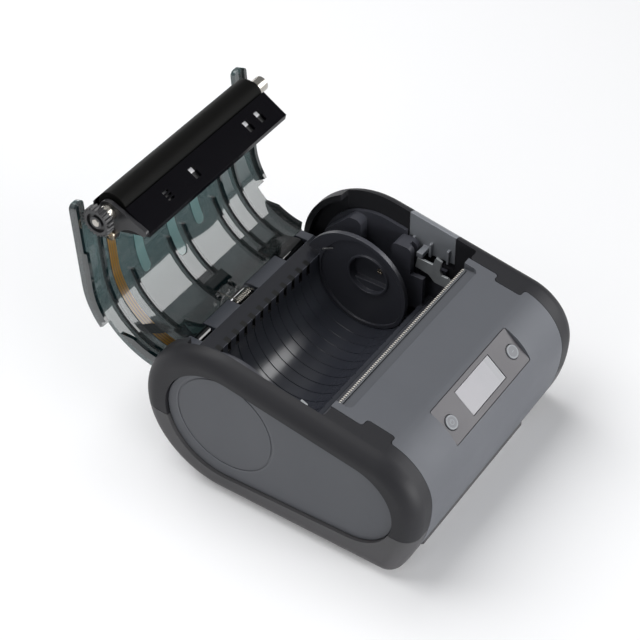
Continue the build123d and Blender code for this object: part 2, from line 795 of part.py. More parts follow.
# Side walls of the paper bay
bay_wall_inset = 8.0
bay_wall_front_y = -4.0


def bay_wall_outline(plane):
    """side wall of the paper bay, kept clear of the closed cover"""
    with BuildSketch(plane) as outline:
        add(side_outline(Plane.XY, bay_wall_inset))
        with Locations((bay_wall_front_y, floor_z + 2 * bay_wall_inset)):
            Rectangle(body_width, body_width, align=(Align.MIN, Align.MIN), mode=Mode.INTERSECT)
    return outline.sketch


with BuildPart() as left_bay_wall:
    extrude(bay_wall_outline(side_plane(-bay_wall_x[1])),
            amount=bay_wall_x[1] - bay_wall_x[0])
save(left_bay_wall, "left_bay_wall")

# Far bay wall with its trough, pillars and the ledge in front of the pillars
trough_x = tray_x[1] + joint_gap
pillar_x = trough_x + running_gap
rear_pillar_x = pillar_x + 2.0
pillar_foot_z = 27.0
front_pillar_y = (7.5, 16.0)
front_pillar_top = 54.6
latch_slot_depth = 2.3
rear_pillar_y = (30.8, 36.0, 47.0)
rear_pillar_top = (55.6, 44.4)
block_y = (2.0, 7.5)
block_top = 42.5
notch_z = 44.5
with BuildPart() as right_bay_wall:
    extrude(bay_wall_outline(side_plane(bay_wall_x[0])),
            amount=bay_wall_x[1] - bay_wall_x[0])
    with BuildSketch(side_plane(bay_wall_x[0])):
        with Locations((button_middle_y, notch_z)):
            Rectangle(button_depth + 4 * joint_gap, body_width, align=(Align.CENTER, Align.MIN))
    extrude(amount=wall, mode=Mode.SUBTRACT)
    with BuildSketch(side_plane(trough_x)):
        with BuildLine():
            span = 360 + tray_rear_angle - tray_front_angle
            inner = CenterArc((tray_y, tray_z), tray_r, tray_front_angle, span)
            outer = CenterArc((tray_y, tray_z), tray_r + tray_wall, tray_front_angle, span)
            Line(inner @ 0, outer @ 0)
            Line(inner @ 1, outer @ 1)
        make_face()
    extrude(amount=bay_wall_x[0] - trough_x)
    with BuildSketch(side_plane(pillar_x)) as pillar:
        Polygon((front_pillar_y[0], pillar_foot_z), (front_pillar_y[1], pillar_foot_z),
                (front_pillar_y[1], front_pillar_top), (front_pillar_y[0], front_pillar_top),
                align=None)
        fillet(pillar.vertices().group_by(Axis.Y)[-1], wall)
    extrude(amount=bay_wall_x[0] - pillar_x)
    with BuildSketch(side_plane(far_latch_x - 2 * joint_gap)):
        with Locations((front_pillar_y[0], pillar_foot_z)):
            Rectangle(latch_slot_depth, body_width, align=(Align.MIN, Align.MIN))
    extrude(amount=latch_thickness + 4 * joint_gap, mode=Mode.SUBTRACT)
    with BuildSketch(side_plane(rear_pillar_x)) as pillar:
        Polygon((rear_pillar_y[0], pillar_foot_z), (rear_pillar_y[2], pillar_foot_z),
                (rear_pillar_y[2], rear_pillar_top[1]), (rear_pillar_y[1], rear_pillar_top[0]),
                (rear_pillar_y[0], rear_pillar_top[0]), align=None)
        fillet(pillar.vertices().group_by(Axis.Y)[-1], wall)
    extrude(amount=bay_wall_x[0] - rear_pillar_x)
    with BuildSketch(side_plane(pillar_x)):
        with Locations((block_y[0], pillar_foot_z)):
            Rectangle(block_y[1] - block_y[0], block_top - pillar_foot_z,
                      align=(Align.MIN, Align.MIN))
    extrude(amount=rear_pillar_x - pillar_x)
save(right_bay_wall, "right_bay_wall")

# Print head: ceramic strip, heat sink, frame and the leaf spring between them
head_y = (-15.35, -14.35)
head_z = (40.0, 54.0)
head_half = tear_bar_half
sink_y = -19.5
frame_y = (-24.0, -22.0)
frame_z = (30.0, 52.0)
frame_half = head_half + wall
leaf_width = 12.0
leaf_thickness = 0.4
with BuildPart() as print_head:
    with BuildSketch(side_plane(-head_half)):
        Polygon((head_y[0], head_z[0]), (head_y[1], head_z[0]), (head_y[1], head_z[1] - 0.6),
                (head_y[1] - 0.4, head_z[1]), (head_y[0], head_z[1]), align=None)
    extrude(amount=2 * head_half)
save(print_head, "print_head")

fin_count = 6
with BuildPart() as heat_sink:
    with BuildSketch(side_plane(-head_half)):
        with Locations((sink_y, head_z[0])):
            Rectangle(head_y[0] - sink_y, head_z[1] - head_z[0], align=(Align.MIN, Align.MIN))
        with Locations(*[(sink_y, head_z[0] + 1.4 + step * 2.2) for step in range(fin_count)]):
            Rectangle(2 * housing_wall, 1.1, mode=Mode.SUBTRACT)
    extrude(amount=2 * head_half)
save(heat_sink, "heat_sink")

with BuildPart() as head_frame:
    with BuildSketch(Plane.XZ.offset(-frame_y[1])):
        with Locations((0, (frame_z[0] + frame_z[1]) / 2)):
            RectangleRounded(2 * frame_half, frame_z[1] - frame_z[0], wall)
        with Locations(*[(x, frame_z[0] + 2 * wall) for x in (-head_half + wall, head_half - wall)]):
            Circle(screw_shank_r, mode=Mode.SUBTRACT)
    extrude(amount=frame_y[1] - frame_y[0])
save(head_frame, "head_frame")

# Deck between the print head and the tray, with a flange on the head frame
deck_x = (-frame_half, bay_wall_x[0] - joint_gap)
deck_rear_y = 1.0
deck_z = (28.4, 30.0)
deck_flange_z = 34.0
with BuildPart() as inner_deck:
    with BuildSketch(side_plane(deck_x[0])):
        Polygon((frame_y[1], deck_z[0]), (deck_rear_y, deck_z[0]), (deck_rear_y, deck_z[1]),
                (frame_y[1] + tray_wall, deck_z[1]), (frame_y[1] + tray_wall, deck_flange_z),
                (frame_y[1], deck_flange_z), align=None)
    extrude(amount=deck_x[1] - deck_x[0])
    for x in (-head_half / 2, 0, head_half / 2):
        with BuildSketch(side_plane(x)):
            Polygon((frame_y[1] + tray_wall, deck_z[1]), (frame_y[1] + 3 * tray_wall, deck_z[1]),
                    (frame_y[1] + tray_wall, deck_flange_z), align=None)
        extrude(amount=rib_width)
save(inner_deck, "inner_deck")

leaf_z = (44.0, 50.0)
with BuildPart() as head_springs:
    for x in (-head_half / 2, head_half / 2):
        with BuildSketch(side_plane(x - leaf_width / 2)):
            with BuildLine():
                ThreePointArc((frame_y[1] + leaf_thickness, leaf_z[0]),
                              (sink_y - leaf_thickness, (leaf_z[0] + leaf_z[1]) / 2),
                              (frame_y[1] + leaf_thickness, leaf_z[1]))
            trace(line_width=leaf_thickness)
        extrude(amount=leaf_width)
save(head_springs, "head_springs")

# Latch levers on both ends of one shaft: hooks behind the bushes of the platen
boss_r = 2.6
hook = [(-0.1, 48.7), (-1.4, 52.7), (-4.0, 51.6), (-3.2, 47.4), (-4.0, 45.2), (-6.8, 45.2)]
arm = [(-5.5, 40.3), (-1.2, 40.6), (1.6, 43.3), (7.3, 44.5), (6.5, 49.2)]
with BuildPart() as latch_levers:
    for x, lower in ((near_latch_x, [(-3.0, 41.5)]), (far_latch_x, arm)):
        with BuildSketch(side_plane(x)):
            Polygon((latch_pivot_y + 1.6, latch_pivot_z - 2.0), *lower, *hook,
                    (latch_pivot_y - 1.6, latch_pivot_z + 2.0), align=None)
            with Locations((latch_pivot_y, latch_pivot_z)):
                Circle(boss_r)
                Circle(latch_shaft_r + fit, mode=Mode.SUBTRACT)
        extrude(amount=latch_thickness)
save(latch_levers, "latch_levers")

with BuildPart() as latch_shaft:
    with BuildSketch(side_plane(gear_plate_x[1])):
        with Locations((latch_pivot_y, latch_pivot_z)):
            Circle(latch_shaft_r)
    extrude(amount=far_latch_x + 2 * latch_thickness - gear_plate_x[1])
save(latch_shaft, "latch_shaft")

# Release button: a rounded piece of the shoulder with a skirt, ribs and a prong
prong_y = (4.4, 7.0)
prong_z = (49.6, 51.6)
rib_count = 3
rib_top_z = 54.0
with BuildPart() as release_button:
    add(body_block.part)
    with BuildSketch(side_plane(skirt_x[0])):
        with Locations((button_middle_y, button_floor_z)):
            Rectangle(button_depth, body_width, align=(Align.CENTER, Align.MIN))
    extrude(amount=body_width, mode=Mode.INTERSECT)
    with BuildSketch(side_plane(skirt_x[0])):
        with Locations((button_middle_y, skirt_z)):
            Rectangle(button_depth, button_floor_z - skirt_z + wall / 2,
                      align=(Align.CENTER, Align.MIN))
    extrude(amount=skirt_x[1] - skirt_x[0])
    with BuildSketch(side_plane(bay_wall_x[0] + joint_gap)):
        for step in range(rib_count):
            with Locations((button_front_y + 2.4 + step * (button_depth - 4.8) / 2, skirt_z)):
                Rectangle(rib_width, rib_top_z - skirt_z, align=(Align.CENTER, Align.MIN))
    extrude(amount=skirt_x[0] - bay_wall_x[0] - joint_gap)
    with BuildSketch(side_plane(far_latch_x)):
        with Locations(((prong_y[0] + prong_y[1]) / 2, (prong_z[0] + prong_z[1]) / 2)):
            Rectangle(prong_y[1] - prong_y[0], prong_z[1] - prong_z[0])
    extrude(amount=skirt_x[0] - far_latch_x)
save(release_button, "release_button")

# Gear train: plate with posts, drive gear, two-step gear, pinion and motor
drive_centre = (-10.1, 35.7)
reduction_centre = (-19.0, 29.4)
pinion_centre = (-31.8, 24.8)
post_r = 1.0
motor_r = 9.0
motor_x = (gear_plate_x[1], -30.0)
motor_shaft_r = 0.75


def gear_face(y, z, teeth, turn, bore):
    """outline of a spur gear on the current plane, with its bore"""
    pitch_r = teeth * gear_module / 2
    foot_r = pitch_r - 1.15 * gear_module
    tip = 1.95 * gear_module
    with Locations((y, z)):
        Circle(foot_r)
        with PolarLocations(foot_r, teeth, start_angle=turn):
            Polygon((-0.1, -0.85 * gear_module), (tip, -0.36 * gear_module),
                    (tip, 0.36 * gear_module), (-0.1, 0.85 * gear_module), align=None)
        Circle(bore, mode=Mode.SUBTRACT)


def line_angle(start, end):
    return degrees(atan2(end[1] - start[1], end[0] - start[0]))


def mesh_turn(line, turn, teeth, mate_teeth):
    """turn of a gear whose teeth fall into the gaps of its mate"""
    return line + 180 - ((turn - line) * teeth + 180) / mate_teeth


drive_turn = line_angle(drive_centre, (platen_y, platen_z))
platen_turn = mesh_turn(drive_turn, drive_turn, drive_teeth, platen_teeth)
small_turn = mesh_turn(line_angle(drive_centre, reduction_centre), drive_turn,
                       drive_teeth, small_teeth)
pinion_turn = mesh_turn(line_angle(reduction_centre, pinion_centre), 0,
                        reduction_teeth, small_teeth)

with BuildPart() as gear_plate:
    with BuildSketch(side_plane(gear_plate_x[0])):
        with Locations(drive_centre, reduction_centre, (latch_pivot_y, latch_pivot_z)):
            Circle(4.0)
        with Locations(pinion_centre):
            Circle(motor_r - wall)
        make_hull()
        with Locations(pinion_centre):
            Circle(screw_shank_r, mode=Mode.SUBTRACT)
    extrude(amount=gear_plate_x[1] - gear_plate_x[0])
    for spot, reach in ((drive_centre, drive_x[0]), (reduction_centre, wheel_x[0])):
        with BuildSketch(side_plane(gear_plate_x[0])):
            with Locations(spot):
                Circle(post_r)
        extrude(amount=reach - gear_plate_x[0])
save(gear_plate, "gear_plate")

with BuildPart() as drive_gear:
    with BuildSketch(side_plane(drive_x[0])):
        gear_face(*drive_centre, drive_teeth, drive_turn, post_r + fit)
    extrude(amount=drive_x[1] - drive_x[0])
save(drive_gear, "drive_gear")

with BuildPart() as reduction_gear:
    with BuildSketch(side_plane(wheel_x[0])):
        gear_face(*reduction_centre, reduction_teeth, 0, post_r + fit)
    extrude(amount=wheel_x[1] - wheel_x[0])
    with BuildSketch(side_plane(wheel_x[1])):
        gear_face(*reduction_centre, small_teeth, small_turn, post_r + fit)
    extrude(amount=drive_x[1] - wheel_x[1])
save(reduction_gear, "reduction_gear")

with BuildPart() as motor_pinion:
    with BuildSketch(side_plane(wheel_x[0])):
        gear_face(*pinion_centre, small_teeth, pinion_turn, motor_shaft_r / 4)
    extrude(amount=wheel_x[1] - wheel_x[0])
    with BuildSketch(side_plane(wheel_x[0] + joint_gap)):
        with Locations(pinion_centre):
            Circle(motor_shaft_r)
    extrude(amount=motor_x[0] - wheel_x[0] - joint_gap)
save(motor_pinion, "motor_pinion")

with BuildPart() as paper_motor:
    with BuildSketch(side_plane(motor_x[0])):
        with Locations(pinion_centre):
            Circle(motor_r)
    extrude(amount=motor_x[1] - motor_x[0])
    chamfer(paper_motor.edges().filter_by(GeomType.CIRCLE).sort_by(Axis.X)[-1], 1.0)
save(paper_motor, "paper_motor")

# Battery and main board
with BuildPart() as battery_pack:
    with BuildSketch(Plane.XY.offset(door_gap + door_thickness)):
        with Locations(door_centre):
            RectangleRounded(battery_x[1] - battery_x[0], battery_y[1] - battery_y[0], wall)
    extrude(amount=battery_height)
save(battery_pack, "battery_pack")

with BuildPart() as main_board:
    with BuildSketch(Plane.XY.offset(board_z)):
        with Locations(((board_x[0] + board_x[1]) / 2, (board_y[0] + board_y[1]) / 2)):
            Rectangle(board_x[1] - board_x[0], board_y[1] - board_y[0])
        with Locations(*board_posts):
            Circle(screw_shank_r, mode=Mode.SUBTRACT)
    extrude(amount=board_thickness)
save(main_board, "main_board")

chips = [(-14.0, -22.0, 10.0, 10.0), (6.0, -14.0, 7.0, 7.0), (22.0, -28.0, 12.0, 6.0)]
with BuildPart() as board_chips:
    for x, y, width, depth in chips:
        with BuildSketch(Plane.XY.offset(board_z + board_thickness)):
            with Locations((x, y)):
                Rectangle(width, depth)
        extrude(amount=board_thickness)
save(board_chips, "board_chips")


# Paper cover: curved shell with cheeks, flanges, ribs, a pocket and two knuckles
def ring_band(plane, outer, inner, from_angle, to_angle):
    """part of a ring about the rear arc, between two insets"""
    with BuildSketch(plane) as band:
        with BuildLine():
            span = to_angle - from_angle
            out = CenterArc((rear_arc_y, rear_arc_z), rear_arc_r - outer, from_angle, span)
            back = CenterArc((rear_arc_y, rear_arc_z), rear_arc_r - inner, from_angle, span)
            Line(out @ 0, back @ 0)
            Line(out @ 1, back @ 1)
        make_face()
    return band.sketch


shell_inset = cover_drop + cover_thickness
rib_inset = shell_inset + rib_height
pocket_x = (-6.2, 3.8)
pocket_inset = 7.0
pocket_angles = (28.0, 40.0)
short_ribs = (-27.0, pocket_x[0] + rib_width / 2, pocket_x[1] - rib_width / 2, 22.0)
long_ribs = (-40.0, 27.5, 36.5)
rib_root_angle = 22.5
rib_end_angle = 86.5
arm_angles = (24.5, 33.0)
recess_xs = (-19.5, -1.4, 12.8)
recess_ends_y = (33.7, 38.1, 33.7)
recess_start_y = 4.0
recess_width = 5.0
recess_depth = 0.5

# Plane of the closed cover seen from above: its x is X and its y is Y
plan_plane = Plane(origin=cover_point(0, 0, 0), x_dir=(1, 0, 0), z_dir=closed_view.y_dir)

with BuildPart() as cover_recesses:
    skin = top_band(cover_plane(-cover_rear_half), shell_inset - recess_depth,
                    shell_inset + joint_gap, rib_root_angle, recess_start_y)
    extrude(skin, amount=2 * cover_rear_half)
    with BuildSketch(plan_plane):
        for x, end_y in zip(recess_xs, recess_ends_y):
            with Locations((x, (recess_start_y + end_y) / 2)):
                SlotOverall(end_y - recess_start_y, recess_width, rotation=90)
    extrude(amount=body_width, both=True, mode=Mode.INTERSECT)

with BuildPart() as paper_cover:
    shell_front = top_band(cover_plane(-cover_half), cover_drop, shell_inset,
                           cover_step_angle, cover_front_y)
    extrude(shell_front, amount=2 * cover_half)
    shell_rear = ring_band(cover_plane(-cover_rear_half), cover_drop, shell_inset,
                           cover_rear_angle, cover_step_angle)
    extrude(shell_rear, amount=2 * cover_rear_half)
    add(cover_recesses.part, mode=Mode.SUBTRACT)
    for start in (-cover_half, cover_half - flange_thickness):
        flange = top_band(cover_plane(start), cover_drop, cover_drop + flange_front_depth,
                          flange_end_angle, cover_front_y)
        extrude(flange, amount=flange_thickness)
        deep_flange = top_band(cover_plane(start), cover_drop, cover_drop + flange_depth,
                               flange_end_angle, flange_step_y)
        extrude(deep_flange, amount=flange_thickness)
    with BuildSketch(plan_plane):
        with Locations((0, cover_edge_y)):
            Rectangle(body_width, body_width, align=(Align.CENTER, Align.MIN))
        tab_x = cover_half - tab_width / 2
        with Locations((-tab_x, cover_edge_y), (tab_x, cover_edge_y)):
            RectangleRounded(tab_width, 2 * (cover_edge_y - cover_front_y), tab_corner_r)
    extrude(amount=body_width, both=True, mode=Mode.INTERSECT)
    for start in (-cover_rear_half, cover_rear_half - flange_thickness):
        with BuildSketch(cover_plane(start)):
            with BuildLine():
                out = CenterArc((rear_arc_y, rear_arc_z), rear_arc_r - cover_drop,
                                cheek_rear_angle, cheek_end_angle - cheek_rear_angle)
                low = CenterArc((rear_arc_y, rear_arc_z), rear_arc_r - cover_drop - cheek_depth,
                                cheek_rear_angle, cheek_full_angle - cheek_rear_angle)
                Line(out @ 0, low @ 0)
                Line(low @ 1, out @ 1)
            make_face()
        extrude(amount=flange_thickness)
    for x in short_ribs:
        rib = ring_band(cover_plane(x - rib_width / 2), shell_inset - joint_gap, rib_inset,
                        rib_root_angle, rib_end_angle)
        extrude(rib, amount=rib_width)
    for x in long_ribs:
        rib = top_band(cover_plane(x - rib_width / 2), shell_inset - joint_gap, rib_inset,
                       rib_root_angle, back_wall_y + 2 * bracket_wall)
        extrude(rib, amount=rib_width)
    pocket = ring_band(cover_plane(pocket_x[0]), shell_inset - joint_gap, pocket_inset,
                       *pocket_angles)
    extrude(pocket, amount=pocket_x[1] - pocket_x[0])
    hollow = ring_band(cover_plane(pocket_x[0] + rib_width), shell_inset,
                       pocket_inset - rib_width, pocket_angles[0] - 1, pocket_angles[1] - 2)
    extrude(hollow, amount=pocket_x[1] - pocket_x[0] - 2 * rib_width, mode=Mode.SUBTRACT)
    for start, end in (near_knuckle, far_knuckle):
        with BuildSketch(cover_plane(start)):
            with Locations((hinge_y, hinge_z)):
                Circle(knuckle_r)
            add(ring_band(Plane.XY, cover_drop + joint_gap, shell_inset - joint_gap,
                          *arm_angles))
            make_hull()
            with Locations((hinge_y, hinge_z)):
                Circle(rod_r + fit, mode=Mode.SUBTRACT)
        extrude(amount=end - start)
save(paper_cover, "paper_cover")

# Torsion spring round the hinge rod; one leg reaches into the pocket of the cover
spring_wire_r = 0.25
spring_mean_r = 1.9
spring_pitch = 0.94
spring_turns = 8
spring_start_x = -spring_pitch * spring_turns / 2
leg_length = 9.1
short_leg = 2.2
leg_turn = 192.2


def coil_point(angle):
    x = spring_start_x + spring_pitch * (angle - leg_turn) / 360
    y = hinge_y + spring_mean_r * cos(radians(angle))
    z = hinge_z + spring_mean_r * sin(radians(angle))
    return Vector(*cover_point(x, y, z))


def coil_heading(angle):
    across = cover_point(0, hinge_y - sin(radians(angle)), hinge_z + cos(radians(angle)))
    flat = Vector(*across) - Vector(*cover_point(0, hinge_y, hinge_z))
    rise = spring_pitch / (2 * pi * spring_mean_r)
    return (flat + Vector(rise, 0, 0)).normalized()


def biarc(start, start_heading, end, end_heading):
    """two arcs that join two points along their headings"""
    chord = end - start
    both = start_heading + end_heading
    a = 2 * (start_heading.dot(end_heading) - 1)
    b = -2 * chord.dot(both)
    c = chord.dot(chord)
    reach = (-b - sqrt(b * b - 4 * a * c)) / (2 * a)
    first = start + start_heading * reach
    last = end - end_heading * reach
    middle = (first + last) / 2
    TangentArc(start, middle, tangent=start_heading)
    TangentArc(middle, end, tangent=(last - first).normalized())


with BuildPart() as cover_spring:
    with BuildLine() as coil:
        angles = [leg_turn + 180 * step for step in range(2 * spring_turns + 1)]
        Line(coil_point(angles[0]) - coil_heading(angles[0]) * leg_length, coil_point(angles[0]))
        for start, end in zip(angles, angles[1:]):
            biarc(coil_point(start), coil_heading(start), coil_point(end), coil_heading(end))
        Line(coil_point(angles[-1]), coil_point(angles[-1]) + coil_heading(angles[-1]) * short_leg)
    with BuildSketch(Plane(origin=coil.line @ 0, z_dir=coil.line % 0)):
        Circle(spring_wire_r)
    sweep(path=coil.line)
save(cover_spring, "cover_spring")

# Bracket of the platen: roof, back wall and the flap with its sensor windows
roof_inset = shell_inset
flap_length = hypot(flap_end[0] - flap_start[0], flap_end[1] - flap_start[1])
flap_run = ((flap_end[0] - flap_start[0]) / flap_length, (flap_end[1] - flap_start[1]) / flap_length)
flap_out = (-flap_run[1], flap_run[0])
flap_back = (flap_end[0] + flap_out[0] * flap_thickness, flap_end[1] + flap_out[1] * flap_thickness)
flap_top = (flap_start[0] + 2 * flap_run[0] + flap_out[0] * flap_thickness,
            flap_start[1] + 2 * flap_run[1] + flap_out[1] * flap_thickness)
window_length = 4.6
window_width = 3.0

with BuildPart() as platen_bracket:
    with BuildSketch(cover_plane(near_cheek_x[1])):
        rear_y = back_wall_y + bracket_wall
        rail_top_y = rail_front_y + bracket_wall
        Polygon((rail_top_y, top_line_z(rail_top_y, roof_inset)),
                (rail_front_y, top_line_z(rail_front_y, roof_inset + bracket_wall)),
                (rear_y, top_line_z(rear_y, roof_inset + bracket_wall)),
                (rear_y, top_line_z(rear_y, roof_inset)), align=None)
        Polygon((back_wall_y, top_line_z(back_wall_y, roof_inset + bracket_wall / 2)),
                (back_wall_y, flap_back[1]), (rear_y, flap_back[1]),
                (rear_y, top_line_z(rear_y, roof_inset + bracket_wall / 2)), align=None)
        Polygon(flap_start, flap_end, (rear_y, flap_back[1]), flap_back, flap_top, align=None)
    extrude(amount=far_cheek_x[0] - near_cheek_x[1])
    flap_plane = Plane(origin=cover_point(0, *flap_start), x_dir=(1, 0, 0),
                       z_dir=Vector(*cover_point(0, flap_out[0], flap_out[1]))
                       - Vector(*cover_point(0, 0, 0)))
    with BuildSketch(flap_plane.offset(-flap_thickness)):
        for x in window_xs[1:]:
            with Locations((x, flap_length / 2), (x, -flap_length / 2)):
                Rectangle(window_width, window_length)
        comb_pitch = window_length / 3
        for step in (-1, 0, 1):
            for middle in (flap_length / 2, -flap_length / 2):
                with Locations((window_xs[0], middle + step * comb_pitch)):
                    Rectangle(window_width, comb_pitch / 2)
    extrude(amount=3 * flap_thickness, mode=Mode.SUBTRACT)
    with BuildSketch(cover_plane(far_cheek_x[0])):
        with Locations((platen_y, platen_z)):
            Circle(bush_r + bracket_wall)
        with Locations((bracket_screw_y, bracket_screw_z)):
            Circle(screw_head_r)
        with Locations((bracket_screw_y - screw_head_r, 46.5)):
            Circle(bracket_wall)
        make_hull()
        with Locations((platen_y, platen_z)):
            Circle(bush_r + fit, mode=Mode.SUBTRACT)
    extrude(amount=far_cheek_x[1] - far_cheek_x[0])
save(platen_bracket, "platen_bracket")

# Steel side plate at the near end of the bracket, waisted behind the bush
waist_y = 7.6
waist_z = 42.0
waist_r = 9.0
with BuildPart() as bracket_side_plate:
    with BuildSketch(cover_plane(near_cheek_x[0])):
        with Locations((platen_y, platen_z)):
            Circle(bush_r + bracket_wall)
        with Locations((bracket_screw_y, bracket_screw_z)):
            Circle(screw_head_r)
        with Locations((flap_end[0] - 0.4, flap_end[1] + 1.6)):
            Circle(bracket_wall)
        make_hull()
        with Locations((waist_y, waist_z)):
            Circle(waist_r, mode=Mode.SUBTRACT)
        with Locations((bracket_screw_y, bracket_screw_z)):
            Circle(screw_head_r)
        with Locations((platen_y, platen_z)):
            Circle(bush_r + fit, mode=Mode.SUBTRACT)
    extrude(amount=near_cheek_x[1] - near_cheek_x[0])
save(bracket_side_plate, "bracket_side_plate")

# Pan-head screws of the bracket, one at each end
pan_head_height = 1.2
with BuildPart() as bracket_screws:
    for x, side in ((near_cheek_x[0], -1), (far_cheek_x[1], 1)):
        with BuildSketch(cover_plane(x)):
            with Locations((bracket_screw_y, bracket_screw_z)):
                Circle(screw_head_r - joint_gap)
        extrude(amount=side * pan_head_height)
        with BuildSketch(cover_plane(x + side * pan_head_height)):
            with Locations((bracket_screw_y, bracket_screw_z)):
                SlotOverall(screw_head_r, screw_shank_r / 3)
                SlotOverall(screw_head_r, screw_shank_r / 3, rotation=90)
        extrude(amount=-side * pan_head_height / 2, mode=Mode.SUBTRACT)
save(bracket_screws, "bracket_screws")

# Bushes at both ends of the platen
with BuildPart() as platen_bushes:
    for start, end in (near_bush, far_bush):
        with BuildSketch(cover_plane(start)):
            with Locations((platen_y, platen_z)):
                Circle(bush_r)
                Circle(platen_shaft_r + fit, mode=Mode.SUBTRACT)
        extrude(amount=end - start)
save(platen_bushes, "platen_bushes")

# Platen: rubber sleeve, steel shaft and its gear
with BuildPart() as platen_roller:
    with BuildSketch(cover_plane(platen_x[0])):
        with Locations((platen_y, platen_z)):
            Circle(platen_r)
            Circle(platen_shaft_r + fit, mode=Mode.SUBTRACT)
    extrude(amount=platen_x[1] - platen_x[0])
save(platen_roller, "platen_roller")

with BuildPart() as platen_shaft:
    with BuildSketch(cover_plane(shaft_x[0])):
        with Locations((platen_y, platen_z)):
            Circle(platen_shaft_r)
    extrude(amount=shaft_x[1] - shaft_x[0])
save(platen_shaft, "platen_shaft")

gear_dish_r = 3.9
gear_hub_r = 2.4
with BuildPart() as platen_gear:
    with BuildSketch(cover_plane(platen_gear_x[0])):
        gear_face(platen_y, platen_z, platen_teeth, platen_turn, platen_shaft_r + fit)
    extrude(amount=platen_gear_x[1] - platen_gear_x[0])
    with BuildSketch(cover_plane(platen_gear_x[0])):
        with Locations((platen_y, platen_z)):
            Circle(gear_dish_r)
            Circle(gear_hub_r, mode=Mode.SUBTRACT)
    extrude(amount=rib_width, mode=Mode.SUBTRACT)
save(platen_gear, "platen_gear")

# Sensor board behind the flap
sensor_board_x = 5.0
sensor_board_length = 62.0
sensor_board_width = 5.2
flap_middle = cover_point(0, (flap_start[0] + flap_end[0]) / 2,
                          (flap_start[1] + flap_end[1]) / 2)
with BuildPart() as sensor_board:
    with BuildSketch(flap_plane.offset(flap_thickness)):
        with Locations((sensor_board_x, flap_plane.to_local_coords(Vector(*flap_middle)).Y)):
            Rectangle(sensor_board_length, sensor_board_width)
    extrude(amount=board_thickness / 2)
save(sensor_board, "sensor_board")

# Flat ribbon along the inside of the cover
ribbon_x = (-36.0, -32.0)
ribbon_thickness = 0.3
with BuildPart() as sensor_ribbon:
    ribbon = top_band(cover_plane(ribbon_x[0]), shell_inset, shell_inset + ribbon_thickness,
                      cover_rear_angle + 2, back_wall_y + 2 * bracket_wall)
    extrude(ribbon, amount=ribbon_x[1] - ribbon_x[0])
save(sensor_ribbon, "sensor_ribbon")
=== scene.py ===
from math import cos, pi, radians, sin

import bpy
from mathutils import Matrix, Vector


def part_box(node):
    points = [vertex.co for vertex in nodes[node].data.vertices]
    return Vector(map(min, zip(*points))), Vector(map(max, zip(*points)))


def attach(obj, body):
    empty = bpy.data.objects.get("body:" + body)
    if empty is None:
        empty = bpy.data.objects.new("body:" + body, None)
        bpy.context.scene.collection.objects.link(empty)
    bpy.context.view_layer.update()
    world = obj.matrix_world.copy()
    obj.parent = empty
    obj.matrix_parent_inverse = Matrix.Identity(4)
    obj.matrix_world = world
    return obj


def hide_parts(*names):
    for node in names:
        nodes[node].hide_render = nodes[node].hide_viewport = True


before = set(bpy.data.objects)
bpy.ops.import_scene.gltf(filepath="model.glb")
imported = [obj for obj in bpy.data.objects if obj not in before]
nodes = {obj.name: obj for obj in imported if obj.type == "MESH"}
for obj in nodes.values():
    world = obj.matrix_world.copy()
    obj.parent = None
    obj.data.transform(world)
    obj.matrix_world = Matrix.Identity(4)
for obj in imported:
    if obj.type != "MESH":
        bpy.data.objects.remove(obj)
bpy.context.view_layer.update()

bpy.ops.object.select_all(action="DESELECT")


# The table: a wide sheet of matt white paper. Away from the printer it shows as white to
# the camera and through the clear cover, and near the printer it keeps the soft shadow.

class Reading:
    """A value on its way through a material's nodes, with the usual arithmetic."""

    def __init__(self, tree, socket):
        self.tree = tree
        self.socket = socket

    def maths(self, operation, *values):
        maker = self.tree.nodes.new("ShaderNodeMath")
        maker.operation = operation
        for place, value in enumerate(values):
            plug(self.tree, value, maker.inputs[place])
        return Reading(self.tree, maker.outputs[0])

    def __add__(self, other):
        return self.maths("ADD", self, other)

    __radd__ = __add__

    def __sub__(self, other):
        return self.maths("SUBTRACT", self, other)

    def __rsub__(self, other):
        return self.maths("SUBTRACT", other, self)

    def __mul__(self, other):
        return self.maths("MULTIPLY", self, other)

    __rmul__ = __mul__

    def sine(self):
        return self.maths("SINE", self)

    def size(self):
        return self.maths("ABSOLUTE", self)

    def at_most(self, limit):
        return self.maths("MINIMUM", self, limit)

    def at_least(self, limit):
        return self.maths("MAXIMUM", self, limit)

    def above(self, limit):
        """1 above the limit, and 0 elsewhere."""
        return self.maths("GREATER_THAN", self, limit)

    def below(self, limit):
        """1 below the limit, and 0 elsewhere."""
        return self.maths("LESS_THAN", self, limit)

    def between(self, low, high):
        """1 between low and high, and 0 elsewhere."""
        return self.above(low) * self.below(high)

    def away_from(self, pitch, start):
        """How far it is from the nearest of the places start, start + pitch, and so on."""
        return self.maths("WRAP", self - start, pitch / 2, -pitch / 2).size()

    def within(self, low, high):
        """0 at low and 1 at high, smooth between them."""
        ramp = self.tree.nodes.new("ShaderNodeMapRange")
        ramp.interpolation_type = "SMOOTHSTEP"
        plug(self.tree, self, ramp.inputs["Value"])
        ramp.inputs["From Min"].default_value = low
        ramp.inputs["From Max"].default_value = high
        return Reading(self.tree, ramp.outputs[0])


def length(first, second):
    """The length of the arrow with these two sides."""
    square = first * first + second * second
    return square.maths("SQRT", square)


def plug(tree, value, socket):
    """Links a reading to a socket, or sets the socket to a plain value."""
    if isinstance(value, Reading):
        tree.links.new(value.socket, socket)
    else:
        socket.default_value = value


